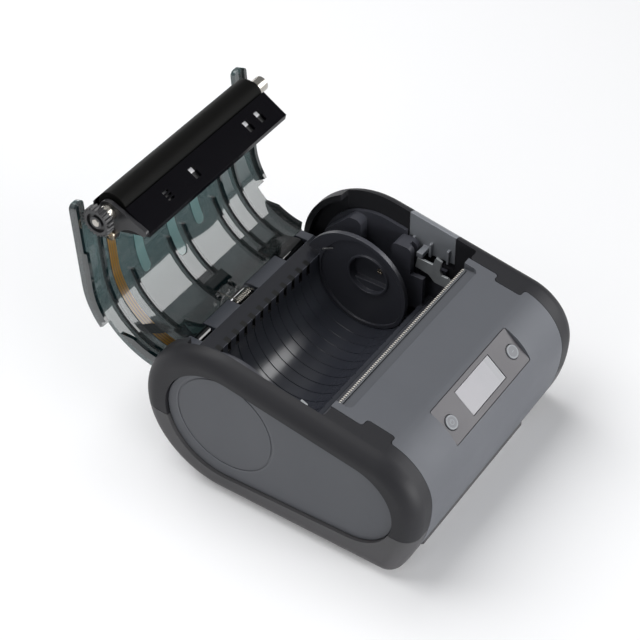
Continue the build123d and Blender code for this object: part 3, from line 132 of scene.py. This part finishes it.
class Finish:
    """A material and the methods that add nodes to it."""

    def __init__(self, name):
        self.material = bpy.data.materials.new(name)
        self.material.use_nodes = True
        self.tree = self.material.node_tree
        self.skin = self.tree.nodes["Principled BSDF"]
        self.out = self.tree.nodes["Material Output"]

    def node(self, kind, settings, sockets, output=0):
        """A node of this kind, with its settings made first and then its sockets."""
        maker = self.tree.nodes.new(kind)
        for key, value in settings.items():
            setattr(maker, key, value)
        for key, value in sockets.items():
            plug(self.tree, value, maker.inputs[key])
        return Reading(self.tree, maker.outputs[output])

    def place(self):
        """Object coordinates, in metres."""
        return self.node("ShaderNodeTexCoord", {}, {}, "Object")

    def axis(self, letter):
        """One of the object coordinates."""
        return self.node("ShaderNodeSeparateXYZ", {}, {0: self.place()}, letter)

    def cloud(self, scale, detail=2.0):
        """Soft noise about 0.5, with scale lumps in a metre."""
        return self.node("ShaderNodeTexNoise", {}, {
            "Vector": self.place(), "Scale": scale, "Detail": detail}, "Fac")

    def blend(self, amount, first, second):
        """One colour to another by amount."""
        return self.node("ShaderNodeMix", {"data_type": "RGBA"}, {
            0: amount, 6: first, 7: second}, 2)

    def dress(self, **sockets):
        """Sets or links sockets of the shader; Base_Color stands for Base Color."""
        for key, value in sockets.items():
            plug(self.tree, value, self.skin.inputs[key.replace("_", " ")])

    def grain(self, height, strength, distance):
        """Relief from a height, as deep as distance in metres."""
        bump = self.node("ShaderNodeBump", {}, {
            "Height": height, "Strength": strength, "Distance": distance}, "Normal")
        plug(self.tree, bump, self.skin.inputs["Normal"])


def paint(red, green, blue):
    """A colour as it shows on the screen, from 0 to 255, as the shader wants it."""
    def linear(level):
        level = level / 255
        return level / 12.92 if level <= 0.04045 else ((level + 0.055) / 1.055) ** 2.4
    return (linear(red), linear(green), linear(blue), 1.0)


table_half = 3.0
white = (1, 1, 1, 1)
glow_reach = (0.3, 0.8)
near_glow = 0.1
mirror_share = 0.2
ray_kinds = ("Is Camera Ray", "Is Glossy Ray", "Is Transmission Ray")
bpy.ops.mesh.primitive_plane_add(size=2 * table_half, location=(0, 0, 0))
table = bpy.context.object
table.name = "table"
paper = Finish("table_paper")
paper.dress(Base_Color=paint(250, 250, 251), Roughness=0.9)
paper_glow = paper.node("ShaderNodeEmission", {}, {"Color": white, "Strength": 1.0})
seen, mirrored, through = (
    paper.node("ShaderNodeLightPath", {}, {}, ray) for ray in ray_kinds)
paper_shown = (seen + mirrored * mirror_share + through).at_most(1.0)
far_off = length(paper.axis("X"), paper.axis("Y")).within(*glow_reach)
paper_mix = paper.node("ShaderNodeMixShader", {}, {
    0: paper_shown * (far_off * (1.0 - near_glow) + near_glow),
    1: Reading(paper.tree, paper.skin.outputs[0]), 2: paper_glow})
plug(paper.tree, paper_mix, paper.out.inputs["Surface"])
table.data.materials.append(paper.material)


# The studio: a white room that is seen but lights little, a softbox overhead and behind,
# a weak strip on the left and a low box in front. Two more boxes show only in glossy
# surfaces: a tall one in the cover, and a small one behind in the tray.

room_tint = (0.9, 0.94, 1.0, 1.0)
room_level = 0.12
world = bpy.data.worlds.new("studio")
bpy.context.scene.world = world
world.use_nodes = True
room = world.node_tree
room_white = room.nodes["Background"]
room_white.inputs["Color"].default_value = white
room_dim = room.nodes.new("ShaderNodeBackground")
room_dim.inputs["Color"].default_value = room_tint
room_dim.inputs["Strength"].default_value = room_level
room_rays = room.nodes.new("ShaderNodeLightPath")
room_seen, room_mirrored, room_through = (
    Reading(room, room_rays.outputs[ray]) for ray in ray_kinds)
room_shown = (room_seen + room_mirrored * mirror_share + room_through).at_most(1.0)
room_mix = room.nodes.new("ShaderNodeMixShader")
plug(room, room_shown, room_mix.inputs[0])
room.links.new(room_dim.outputs[0], room_mix.inputs[1])
room.links.new(room_white.outputs[0], room_mix.inputs[2])
room.links.new(room_mix.outputs[0], room.nodes["World Output"].inputs["Surface"])


def softbox(name, spot, aim, width, height, power, lights_shapes=True):
    """A soft lamp; with lights_shapes off, it is only seen in glossy surfaces."""
    lamp = bpy.data.lights.new(name, "AREA")
    lamp.shape = "RECTANGLE"
    lamp.size = width
    lamp.size_y = height
    lamp.energy = power
    holder = bpy.data.objects.new(name, lamp)
    bpy.context.scene.collection.objects.link(holder)
    holder.location = spot
    toward = Vector(aim) - Vector(spot)
    holder.rotation_euler = toward.to_track_quat("-Z", "Y").to_euler()
    holder.visible_diffuse = lights_shapes


softbox("overhead_box", (-0.05, 0.55, 1.05), (0, 0, 0.03), 1.1, 1.1, 14.5)
softbox("left_strip", (-0.95, 0.15, 0.55), (0, 0, 0.04), 0.4, 0.7, 1.6)
softbox("front_fill", (-0.1, -1.15, 0.22), (0, 0, 0.03), 0.9, 0.4, 15.0)
softbox("cover_box", (0.8, -0.79, 0.63), (0.8, 0.115, 0.12), 0.9, 1.02, 14.6, False)
softbox("tray_box", (0.68, 1.05, 0.2), (0, 0.02, 0.03), 0.3, 0.22, 1.2, False)

camera_spot = (-0.405947, -0.251957, 0.496518)
camera_azimuth = radians(-56.2122)
camera_height = radians(42.7188)
photo_focal_px = 1850.78
photo_width_px = 640
sensor_mm = 36
camera = bpy.data.cameras.new("camera")
camera.sensor_width = sensor_mm
camera.lens = photo_focal_px / photo_width_px * sensor_mm
camera.clip_start = 0.01
viewer = bpy.data.objects.new("camera", camera)
bpy.context.scene.collection.objects.link(viewer)
viewer.location = camera_spot
view_line = Vector((-sin(camera_azimuth) * cos(camera_height),
                    cos(camera_azimuth) * cos(camera_height), -sin(camera_height)))
viewer.rotation_euler = view_line.to_track_quat("-Z", "Y").to_euler()
bpy.context.scene.camera = viewer
bpy.context.scene.view_settings.view_transform = "Standard"


# Lower housing: the dark tub that the printer stands on, injection moulded with a fine
# spark-eroded grain. A battery hatch lies flush in its underside.

cloud_scale = 28.0
cloud_detail = 4.0
cloud_edges = (0.3, 0.7)
scuff_scale = 310.0
scuff_edges = (0.62, 0.75)
grain_strength = 0.35
join_distance = 0.000002
flat_angle = radians(0.6)
flat_weight = 80


def moulded_skin(name, colour, dark, roughness, grain_scale, grain_depth, coat=0.0):
    """Moulded plastic: two tones in soft clouds, faint scuffs and a fine grain."""
    finish = Finish(name)
    clouds = finish.cloud(cloud_scale, cloud_detail).within(*cloud_edges)
    scuffs = finish.cloud(scuff_scale).within(*scuff_edges)
    finish.dress(
        Base_Color=finish.blend(clouds * 0.6 + scuffs * 0.1, paint(*colour), paint(*dark)),
        Roughness=clouds * 0.05 + scuffs * 0.02 + (roughness - 0.03),
        Coat_Weight=coat, Coat_Roughness=0.2)
    finish.grain(finish.cloud(grain_scale), grain_strength, grain_depth)
    return finish


def dressed(node_name, name, body, finish, edge=0.00025, steps=2, smooth=34):
    """The CAD piece with its triangles joined, its edges softened and its finish put on."""
    mesh = nodes[node_name].data.copy()
    mesh.materials.clear()
    piece = bpy.data.objects.new(name, mesh)
    bpy.context.scene.collection.objects.link(piece)
    bpy.ops.object.select_all(action="DESELECT")
    piece.select_set(True)
    bpy.context.view_layer.objects.active = piece
    bpy.ops.object.mode_set(mode="EDIT")
    bpy.ops.mesh.select_all(action="SELECT")
    bpy.ops.mesh.remove_doubles(threshold=join_distance)
    bpy.ops.mesh.dissolve_limited(angle_limit=flat_angle)
    bpy.ops.object.mode_set(mode="OBJECT")
    if edge:
        bevel = piece.modifiers.new("soft_edges", "BEVEL")
        bevel.width = edge
        bevel.segments = steps
        bevel.limit_method = "ANGLE"
        bevel.angle_limit = radians(smooth)
        bpy.ops.object.modifier_apply(modifier="soft_edges")
    bpy.ops.object.shade_smooth_by_angle(angle=radians(smooth))
    if edge:
        flat = piece.modifiers.new("flat_faces", "WEIGHTED_NORMAL")
        flat.weight = flat_weight
        flat.keep_sharp = True
        bpy.ops.object.modifier_apply(modifier="flat_faces")
    piece.data.materials.append(finish.material)
    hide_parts(node_name)
    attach(piece, body)


tub_skin = moulded_skin("tub_skin", (66, 65, 67), (57, 57, 59), 0.55, 5200.0, 0.00003)
dressed("lower_housing", "lower_shell", "base", tub_skin)
dressed("battery_door", "battery_hatch", "base", tub_skin)


# Shoulders: the two rounded bumpers over the sides, hard plastic with a soft-touch
# lacquer that takes a broad dull sheen. They are screwed to the tub from inside.

shoulder_skin = moulded_skin(
    "shoulder_skin", (37, 37, 40), (31, 31, 34), 0.5, 5200.0, 0.00003)
shoulder_skin.dress(Specular_IOR_Level=0.22)
dressed("left_bumper", "left_shoulder", "base", shoulder_skin)
dressed("right_bumper", "right_shoulder", "base", shoulder_skin)


# Side panels: flat grey plastic inserts, pressed into the shoulders, each with one
# engraved ring and a satin spray finish.

ring_y = 0.0227
ring_z = 0.0367
ring_radius = 0.0202
ring_half_width = 0.0006
panel_skin = moulded_skin(
    "panel_skin", (74, 76, 81), (68, 70, 75), 0.52, 3400.0, 0.00002)
ring_reach = length(panel_skin.axis("Y") - ring_y, panel_skin.axis("Z") - ring_z)
# The groove of the ring is painted a little lighter than the panel: painted light that
# eases the shade that falls in the groove.
ring_painted_light = ring_reach.between(ring_radius - ring_half_width, ring_radius + ring_half_width)
panel_tone = panel_skin.blend(
    panel_skin.cloud(cloud_scale, cloud_detail), paint(76, 78, 83), paint(70, 72, 77))
panel_skin.dress(Base_Color=panel_skin.blend(ring_painted_light, panel_tone, paint(80, 82, 87)))
dressed("left_side_panel", "left_panel", "base", panel_skin)
dressed("right_side_panel", "right_panel", "base", panel_skin)


# Front housing: the blue-grey shell between the shoulders, moulded in ABS and sprayed
# with a fine metallic lacquer. Clips hold it to the tub.

housing_skin = moulded_skin(
    "housing_skin", (91, 93, 98), (85, 87, 92), 0.56, 6400.0, 0.00002)
housing_skin.dress(Metallic=0.1, Specular_IOR_Level=0.25)
dressed("front_housing", "front_shell", "base", housing_skin)


# Tear bar: a stamped strip of stainless steel with fine teeth, laid on the edge of the
# front housing. It is brushed along its length. Its teeth are painted near white, a painted
# glint, and the gaps between them near black, a painted shade.

shade_share = 0.84


def drawn_steel(name, colour, roughness, lines):
    """Bright metal with drawn lines; lines gives the scale along each axis."""
    finish = Finish(name)
    stretched = finish.node("ShaderNodeMapping", {}, {
        "Vector": finish.place(), "Scale": lines})
    scratch = finish.node("ShaderNodeTexNoise", {}, {
        "Vector": stretched, "Scale": 1.0, "Detail": 3.0}, "Fac")
    shade = [level * shade_share for level in colour]
    finish.dress(
        Base_Color=finish.blend(scratch, paint(*colour), paint(*shade)),
        Metallic=1.0, Roughness=scratch * 0.12 + (roughness - 0.06))
    finish.grain(scratch, 0.2, 0.00001)
    return finish


tooth_pitch = 0.001
gap_shade_edges = (0.00034, 0.0002)
teeth_start_y = -0.01565
soft_line = 0.0001
bar_steel = drawn_steel("bar_steel", (208, 204, 196), 0.3, (60.0, 9000.0, 9000.0))
# The teeth are painted near white, brighter than the steel, as a painted glint; the gaps
# between them are painted near black as painted shade.
gap_painted_shade = bar_steel.axis("X").away_from(tooth_pitch, 0.0).within(*gap_shade_edges)
teeth_glint_and_gap_shade = bar_steel.blend(gap_painted_shade, paint(255, 250, 240), paint(30, 28, 26))
past_start = bar_steel.axis("Y").within(teeth_start_y - soft_line,
                                        teeth_start_y + soft_line)
bar_steel.dress(Base_Color=bar_steel.blend(past_start, paint(92, 94, 98), teeth_glint_and_gap_shade),
                Metallic=past_start * 0.5 + 0.1)
dressed("tear_bar", "tear_strip", "base", bar_steel, 0.00006, 1)


# Display: a satin lens glued into the front, with a grey screen behind its window and
# two round keys that stand a little proud of it. Each key is printed with its sign.

lens_skin = moulded_skin("lens_skin", (60, 58, 62), (56, 54, 58), 0.42, 5200.0, 0.00001)
dressed("display_lens", "display_window", "base", lens_skin, 0.0001)

screen_margin = (0.0078, 0.0080)
screen_skin = Finish("screen_skin")
screen_haze = screen_skin.cloud(60.0).within(*cloud_edges)
screen_glass = screen_skin.blend(screen_haze, paint(126, 125, 130), paint(120, 120, 125))
screen_skin.dress(
    Base_Color=screen_skin.blend(screen_skin.axis("X").within(*screen_margin),
                                 screen_glass, paint(116, 117, 121)),
    Roughness=screen_haze * 0.04 + 0.12, Coat_Weight=0.1)
dressed("lcd_module", "display_screen", "base", screen_skin, 0.0001)

key_slope = radians(131.4)
key_rim = (0.0020, 0.0025)
sign_ring = (0.0007, 0.0010)
sign_stroke = (-0.0011, -0.0003)
sign_line = 0.00016
dash_half = 0.0006
for node_name, name, body in (("power_button", "power_cap", "power_key"),
                              ("feed_button", "feed_cap", "feed_key")):
    key_skin = moulded_skin(
        name + "_skin", (94, 96, 100), (89, 91, 95), 0.45, 5200.0, 0.00001)
    key_low, key_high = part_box(node_name)
    middle = (key_low + key_high) / 2
    across = key_skin.axis("X") - middle.x
    down = ((key_skin.axis("Z") - middle.z) * cos(key_slope)
            - (key_skin.axis("Y") - middle.y) * sin(key_slope))
    reach = length(across, down)
    if node_name == "power_button":
        opening = across.size().below(2 * sign_line) * down.below(0.0)
        stroke = across.size().below(sign_line) * down.between(*sign_stroke)
        sign = reach.between(*sign_ring) * (1.0 - opening) + stroke
    else:
        sign = down.size().below(sign_line) * across.size().below(dash_half)
    marked = (sign + reach.between(*key_rim)).at_most(1.0)
    key_skin.dress(
        Base_Color=key_skin.blend(marked, paint(91, 93, 97), paint(114, 117, 121)))
    dressed(node_name, name, body, key_skin, 0.0001)


# Paper tray: one trough with its hinge shelf, moulded in blue-black plastic and polished,
# so that it mirrors the lamps in long streaks. Two rows of slots go through it. The slots
# are painted near black as painted shade, the shelf top and the rear wall lighter as
# painted sheen, and the ramp darker as painted shade.

slot_pitch = 0.00505
slot_half = 0.00075
slot_shade_spill = 0.0003
slot_rows_half = 6 * slot_pitch
rear_slot_y = (0.0424, 0.0462)
rear_slot_z = (0.0352, 0.0409)
front_slot_y = 0.0080
front_slot_z = (0.0246, 0.0274)
shelf_y = 0.0503
shelf_z = 0.0417
ramp_y = 0.04
ramp_z = 0.0404
wall_sheen_y = (0.036, 0.0425)
tray_skin = moulded_skin(
    "tray_skin", (58, 60, 68), (52, 54, 62), 0.24, 1800.0, 0.00001, 0.2)
tray_x = tray_skin.axis("X")
tray_y = tray_skin.axis("Y")
tray_z = tray_skin.axis("Z")
# The slots, a little wider than the holes and up the rear wall, are painted near black:
# painted shade for the dark inside of the holes.
in_column = (tray_x.away_from(slot_pitch, slot_pitch / 2).below(slot_half + slot_shade_spill)
             * tray_x.size().below(slot_rows_half))
in_rear = tray_y.between(*rear_slot_y) * tray_z.between(*rear_slot_z)
in_front = tray_y.below(front_slot_y) * tray_z.between(*front_slot_z)
slot_painted_shade = in_column * (in_rear + in_front)
on_shelf = tray_y.above(shelf_y) * tray_z.above(shelf_z)
ramp_painted_shade = tray_y.between(ramp_y, shelf_y) * tray_z.above(ramp_z)
# One plastic throughout: the rear wall is painted lighter towards its top and the shelf top
# lighter, as painted sheen, and the ramp darker, as painted shade.
wall_painted_sheen = tray_y.within(*wall_sheen_y) * tray_z.between(0.0, ramp_z)
tray_sheen_and_shade_tone = tray_skin.blend(wall_painted_sheen, paint(56, 58, 66), paint(96, 99, 108))
tray_sheen_and_shade_tone = tray_skin.blend(ramp_painted_shade, tray_sheen_and_shade_tone, paint(52, 53, 59))
tray_sheen_and_shade_tone = tray_skin.blend(on_shelf, tray_sheen_and_shade_tone, paint(90, 93, 101))
tray_clouds = tray_skin.cloud(cloud_scale, cloud_detail)
tray_skin.dress(
    Base_Color=tray_skin.blend(slot_painted_shade, tray_sheen_and_shade_tone, paint(5, 5, 6)),
    Roughness=on_shelf * 0.2 + slot_painted_shade * 0.6 + tray_clouds * 0.08 + 0.19)
dressed("paper_tray", "roll_tray", "base", tray_skin, 0.00006, 1, 20)


# Guides, walls and deck of the paper bay: satin black plastic inserts. The round guide
# at the far side slides along the tray to suit the width of the roll.

bay_skin = moulded_skin("bay_skin", (60, 61, 68), (54, 55, 62), 0.4, 2600.0, 0.00002)
dressed("roll_guide", "sliding_guide", "guide", bay_skin, 0.0002)
dressed("left_roll_guide", "fixed_guide", "base", bay_skin, 0.0002)
dressed("left_bay_wall", "near_bay_wall", "base", bay_skin, 0.0002)
dressed("right_bay_wall", "far_bay_wall", "base", bay_skin, 0.0002)
dressed("inner_deck", "bay_deck", "base", bay_skin, 0.0002)


# Release button: a rounded piece of the right shoulder in hard plastic, pushed down to
# let the cover go.

release_skin = moulded_skin(
    "release_skin", (128, 131, 136), (120, 123, 128), 0.4, 5200.0, 0.00002)
dressed("release_button", "release_cap", "release", release_skin, 0.0002)


# Paper cover: a curved shell of smoky clear polycarbonate with ribs on its inside. Each
# wall lets through about a fifth of the light, and its faces mirror the softbox. Its ribs,
# flanges and knuckles are thicker and look darker, and its shallow recesses lighter.

hinge_y = 0.054
hinge_z = 0.0393
cover_open_angle = radians(104.0)
arc_centre_y = 0.026
arc_centre_z = 0.0335
arc_radius = 0.0325
top_angle = radians(100.23)
shell_inset = 0.0028
rib_depth = (shell_inset + 0.00005, shell_inset + 0.0003)
recess_floor = (shell_inset + 0.0001, shell_inset - 0.0002)
recess_start = (0.0014, 0.0018)
knuckle_radius = 0.0034
knuckle_fade = 0.0008
recesses = ((-0.0195, 0.0337), (-0.0014, 0.0381), (0.0128, 0.0337))
recess_half = 0.0025
flange_start = 0.048


def closed_place(finish):
    """Y and Z that a point of the open cover has when it is shut."""
    off_y = finish.axis("Y") - hinge_y
    off_z = finish.axis("Z") - hinge_z
    turn_cos = cos(cover_open_angle)
    turn_sin = sin(cover_open_angle)
    return (off_y * turn_cos - off_z * turn_sin + hinge_y,
            off_y * turn_sin + off_z * turn_cos + hinge_z)


cover_skin = Finish("cover_skin")
shut_y, shut_z = closed_place(cover_skin)
arc_y = shut_y - arc_centre_y
arc_z = shut_z - arc_centre_z
rise = arc_y * cos(top_angle) + arc_z * sin(top_angle)
ahead = (arc_z * cos(top_angle) - arc_y * sin(top_angle)).at_most(0.0)
depth = arc_radius - length(rise, ahead)
on_rib = depth.within(*rib_depth)
hinge_reach = length(cover_skin.axis("Y") - hinge_y, cover_skin.axis("Z") - hinge_z)
on_knuckle = hinge_reach.within(knuckle_radius + knuckle_fade, knuckle_radius)
on_flange = cover_skin.axis("X").size().above(flange_start)
in_recess = 0.0
for recess_x, recess_end in recesses:
    past_end = (shut_y - (recess_end - recess_half)).at_least(0.0)
    reach = length(cover_skin.axis("X") - recess_x, past_end)
    in_recess = reach.within(recess_half + soft_line, recess_half - soft_line) + in_recess
in_recess = in_recess * depth.within(*recess_floor) * depth.within(*recess_start)
cover_haze = cover_skin.cloud(35.0, 3.0).within(*cloud_edges)
cover_tone = cover_skin.blend(cover_haze * 0.5, paint(38, 68, 69), paint(31, 59, 61))
cover_tone = cover_skin.blend(in_recess, cover_tone, paint(88, 124, 123))
cover_tone = cover_skin.blend(on_flange, cover_tone, paint(24, 42, 44))
cover_tone = cover_skin.blend(on_rib, cover_tone, paint(12, 26, 28))
cover_skin.dress(
    Base_Color=cover_skin.blend(on_knuckle, cover_tone, paint(10, 12, 13)),
    Roughness=cover_haze * 0.02 + 0.05,
    Alpha=(cover_haze * 0.03 + on_rib * 0.16 + on_knuckle * 0.2 + 0.77).at_most(0.98),
    Coat_Weight=0.7, Coat_Roughness=0.03)
dressed("paper_cover", "smoky_cover", "cover", cover_skin, 0.0002)


# Ribbon: a flat amber film with copper tracks, stuck to the inside of the cover from the
# hinge up to the sensor board.

track_pitch = 0.0011
track_edges = (-0.2, 0.6)
ribbon_skin = Finish("ribbon_skin")
tracks = (ribbon_skin.axis("X") * (2 * pi / track_pitch)).sine().within(*track_edges)
ribbon_skin.dress(
    Base_Color=ribbon_skin.blend(tracks, paint(128, 98, 46), paint(64, 46, 20)),
    Roughness=tracks * 0.1 + 0.2, Coat_Weight=0.5)
ribbon_skin.grain(tracks, 0.3, 0.00003)
dressed("sensor_ribbon", "flat_ribbon", "cover", ribbon_skin, 0)


# Platen: a sleeve of charcoal silicone rubber ground on a steel shaft, with a black gear
# at its near end and bright bushes in which it turns.

rubber_skin = moulded_skin("rubber_skin", (13, 13, 12), (10, 10, 9), 0.5, 3000.0, 0.00002)
rubber_skin.dress(Specular_IOR_Level=0.05)
dressed("platen_roller", "rubber_roller", "platen", rubber_skin, 0.0003)
shaft_steel = drawn_steel("shaft_steel", (190, 186, 178), 0.25, (9000.0, 60.0, 60.0))
dressed("platen_shaft", "roller_shaft", "platen", shaft_steel, 0.0002)
dressed("platen_bushes", "roller_bushes", "cover", shaft_steel, 0.0002)
gear_skin = moulded_skin("gear_skin", (38, 38, 40), (33, 33, 35), 0.36, 2600.0, 0.00001)
dressed("platen_gear", "roller_gear", "platen", gear_skin, 0)


# Bracket of the platen: glossy black plastic with a sloping flap, a side plate at its near
# end and two bright pan-head screws. The flap has sensor windows, and the board behind it
# is white where they are and dark below.

bracket_skin = moulded_skin("bracket_skin", (8, 7, 11), (6, 6, 9), 0.14, 1800.0, 0.00001)
bracket_skin.dress(Specular_IOR_Level=0.1)
dressed("platen_bracket", "roller_bracket", "cover", bracket_skin,
        0.00015)
plate_skin = moulded_skin("plate_skin", (28, 28, 31), (24, 24, 27), 0.36, 2600.0, 0.00001)
dressed("bracket_side_plate", "roller_side_plate", "cover", plate_skin,
        0.0003)

flap_start_y = -0.0093
flap_start_z = 0.0423
flap_run_y = 0.72
flap_run_z = -0.694
white_end = 0.0054
sensor_skin = Finish("sensor_skin")
sensor_y, sensor_z = closed_place(sensor_skin)
down_flap = (sensor_y - flap_start_y) * flap_run_y + (sensor_z - flap_start_z) * flap_run_z
on_white = down_flap.within(white_end + soft_line, white_end - soft_line)
sensor_skin.dress(
    Base_Color=sensor_skin.blend(on_white, paint(12, 12, 14), paint(214, 214, 216)),
    Roughness=sensor_skin.cloud(900.0) * 0.1 + 0.4)
dressed("sensor_board", "sensor_circuit", "cover", sensor_skin, 0.0001)
screw_steel = drawn_steel("screw_steel", (216, 200, 178), 0.2, (2000.0, 2000.0, 2000.0))
dressed("bracket_screws", "bracket_screw_heads", "cover", screw_steel, 0.00015)


# Hinge: a steel rod through the shelf and the knuckles, and the wound spring on it whose
# leg lifts the cover.

dressed("cover_spring", "hinge_spring", "cover", shaft_steel, 0)
dressed("hinge_rod", "hinge_pin", "base", shaft_steel, 0.0001)


# Screws of the sliding guide and of the base: turned steel with a bright zinc plating,
# driven in from the outside.

dressed("guide_screw", "guide_screw_head", "guide", screw_steel, 0.0001)
dressed("base_screws", "base_screw_heads", "base", screw_steel, 0.0001)


# Latch: two stamped steel hooks pressed on one shaft, which catch the bushes of the
# platen when the cover is shut.

latch_steel = drawn_steel("latch_steel", (176, 180, 182), 0.42, (400.0, 400.0, 400.0))
latch_steel.dress(Metallic=0.5)
dressed("latch_levers", "latch_hooks", "latch", latch_steel, 0.00015)
dressed("latch_shaft", "latch_rod", "latch", shaft_steel, 0.0002)


# Print head: a strip of glazed ceramic glued to a finned aluminium sink, pushed forward
# by leaf springs in a sheet-steel frame.

ceramic_skin = moulded_skin(
    "ceramic_skin", (42, 40, 43), (36, 34, 37), 0.18, 1800.0, 0.00001)
dressed("print_head", "head_ceramic", "base", ceramic_skin, 0.0001)
sink_metal = drawn_steel("sink_metal", (150, 152, 156), 0.42, (60.0, 4000.0, 4000.0))
dressed("heat_sink", "head_sink", "base", sink_metal, 0.0001)
dressed("head_frame", "head_support", "base", plate_skin, 0.0002)
dressed("head_springs", "head_leaves", "base", shaft_steel, 0)


# Gear train: nylon wheels on the posts of a steel plate, driven by a brass pinion on the
# shaft of a small stepper motor.

wheel_skin = moulded_skin(
    "wheel_skin", (190, 186, 170), (180, 176, 160), 0.4, 2600.0, 0.00001)
dressed("drive_gear", "drive_wheel_teeth", "drive_wheel",
        wheel_skin, 0.00008, 1)
dressed("reduction_gear", "reduction_wheel_teeth", "reduction_wheel",
        wheel_skin, 0.00008, 1)
dressed("motor_pinion", "brass_pinion", "pinion", screw_steel, 0.00005, 1)
dressed("gear_plate", "gear_carrier", "base", plate_skin, 0.0001)
dressed("paper_motor", "feed_motor", "base", shaft_steel, 0.0002)


# Boards and battery: glass-fibre laminate with a green mask, black chips and key domes,
# and a battery pack in a shrunk dark sleeve. All of it is hidden in the closed body.

board_skin = moulded_skin("board_skin", (26, 74, 48), (20, 64, 42), 0.35, 1200.0, 0.00002)
dressed("main_board", "logic_board", "base", board_skin, 0.0001)
dressed("key_board", "key_circuit", "base", board_skin, 0.0001)
dressed("board_chips", "logic_chips", "base", gear_skin, 0.0001)
dressed("key_switches", "key_domes", "base", bay_skin, 0.0001)
battery_skin = moulded_skin(
    "battery_skin", (48, 52, 62), (42, 46, 56), 0.3, 900.0, 0.00002)
dressed("battery_pack", "cell_pack", "base", battery_skin, 0.0003)
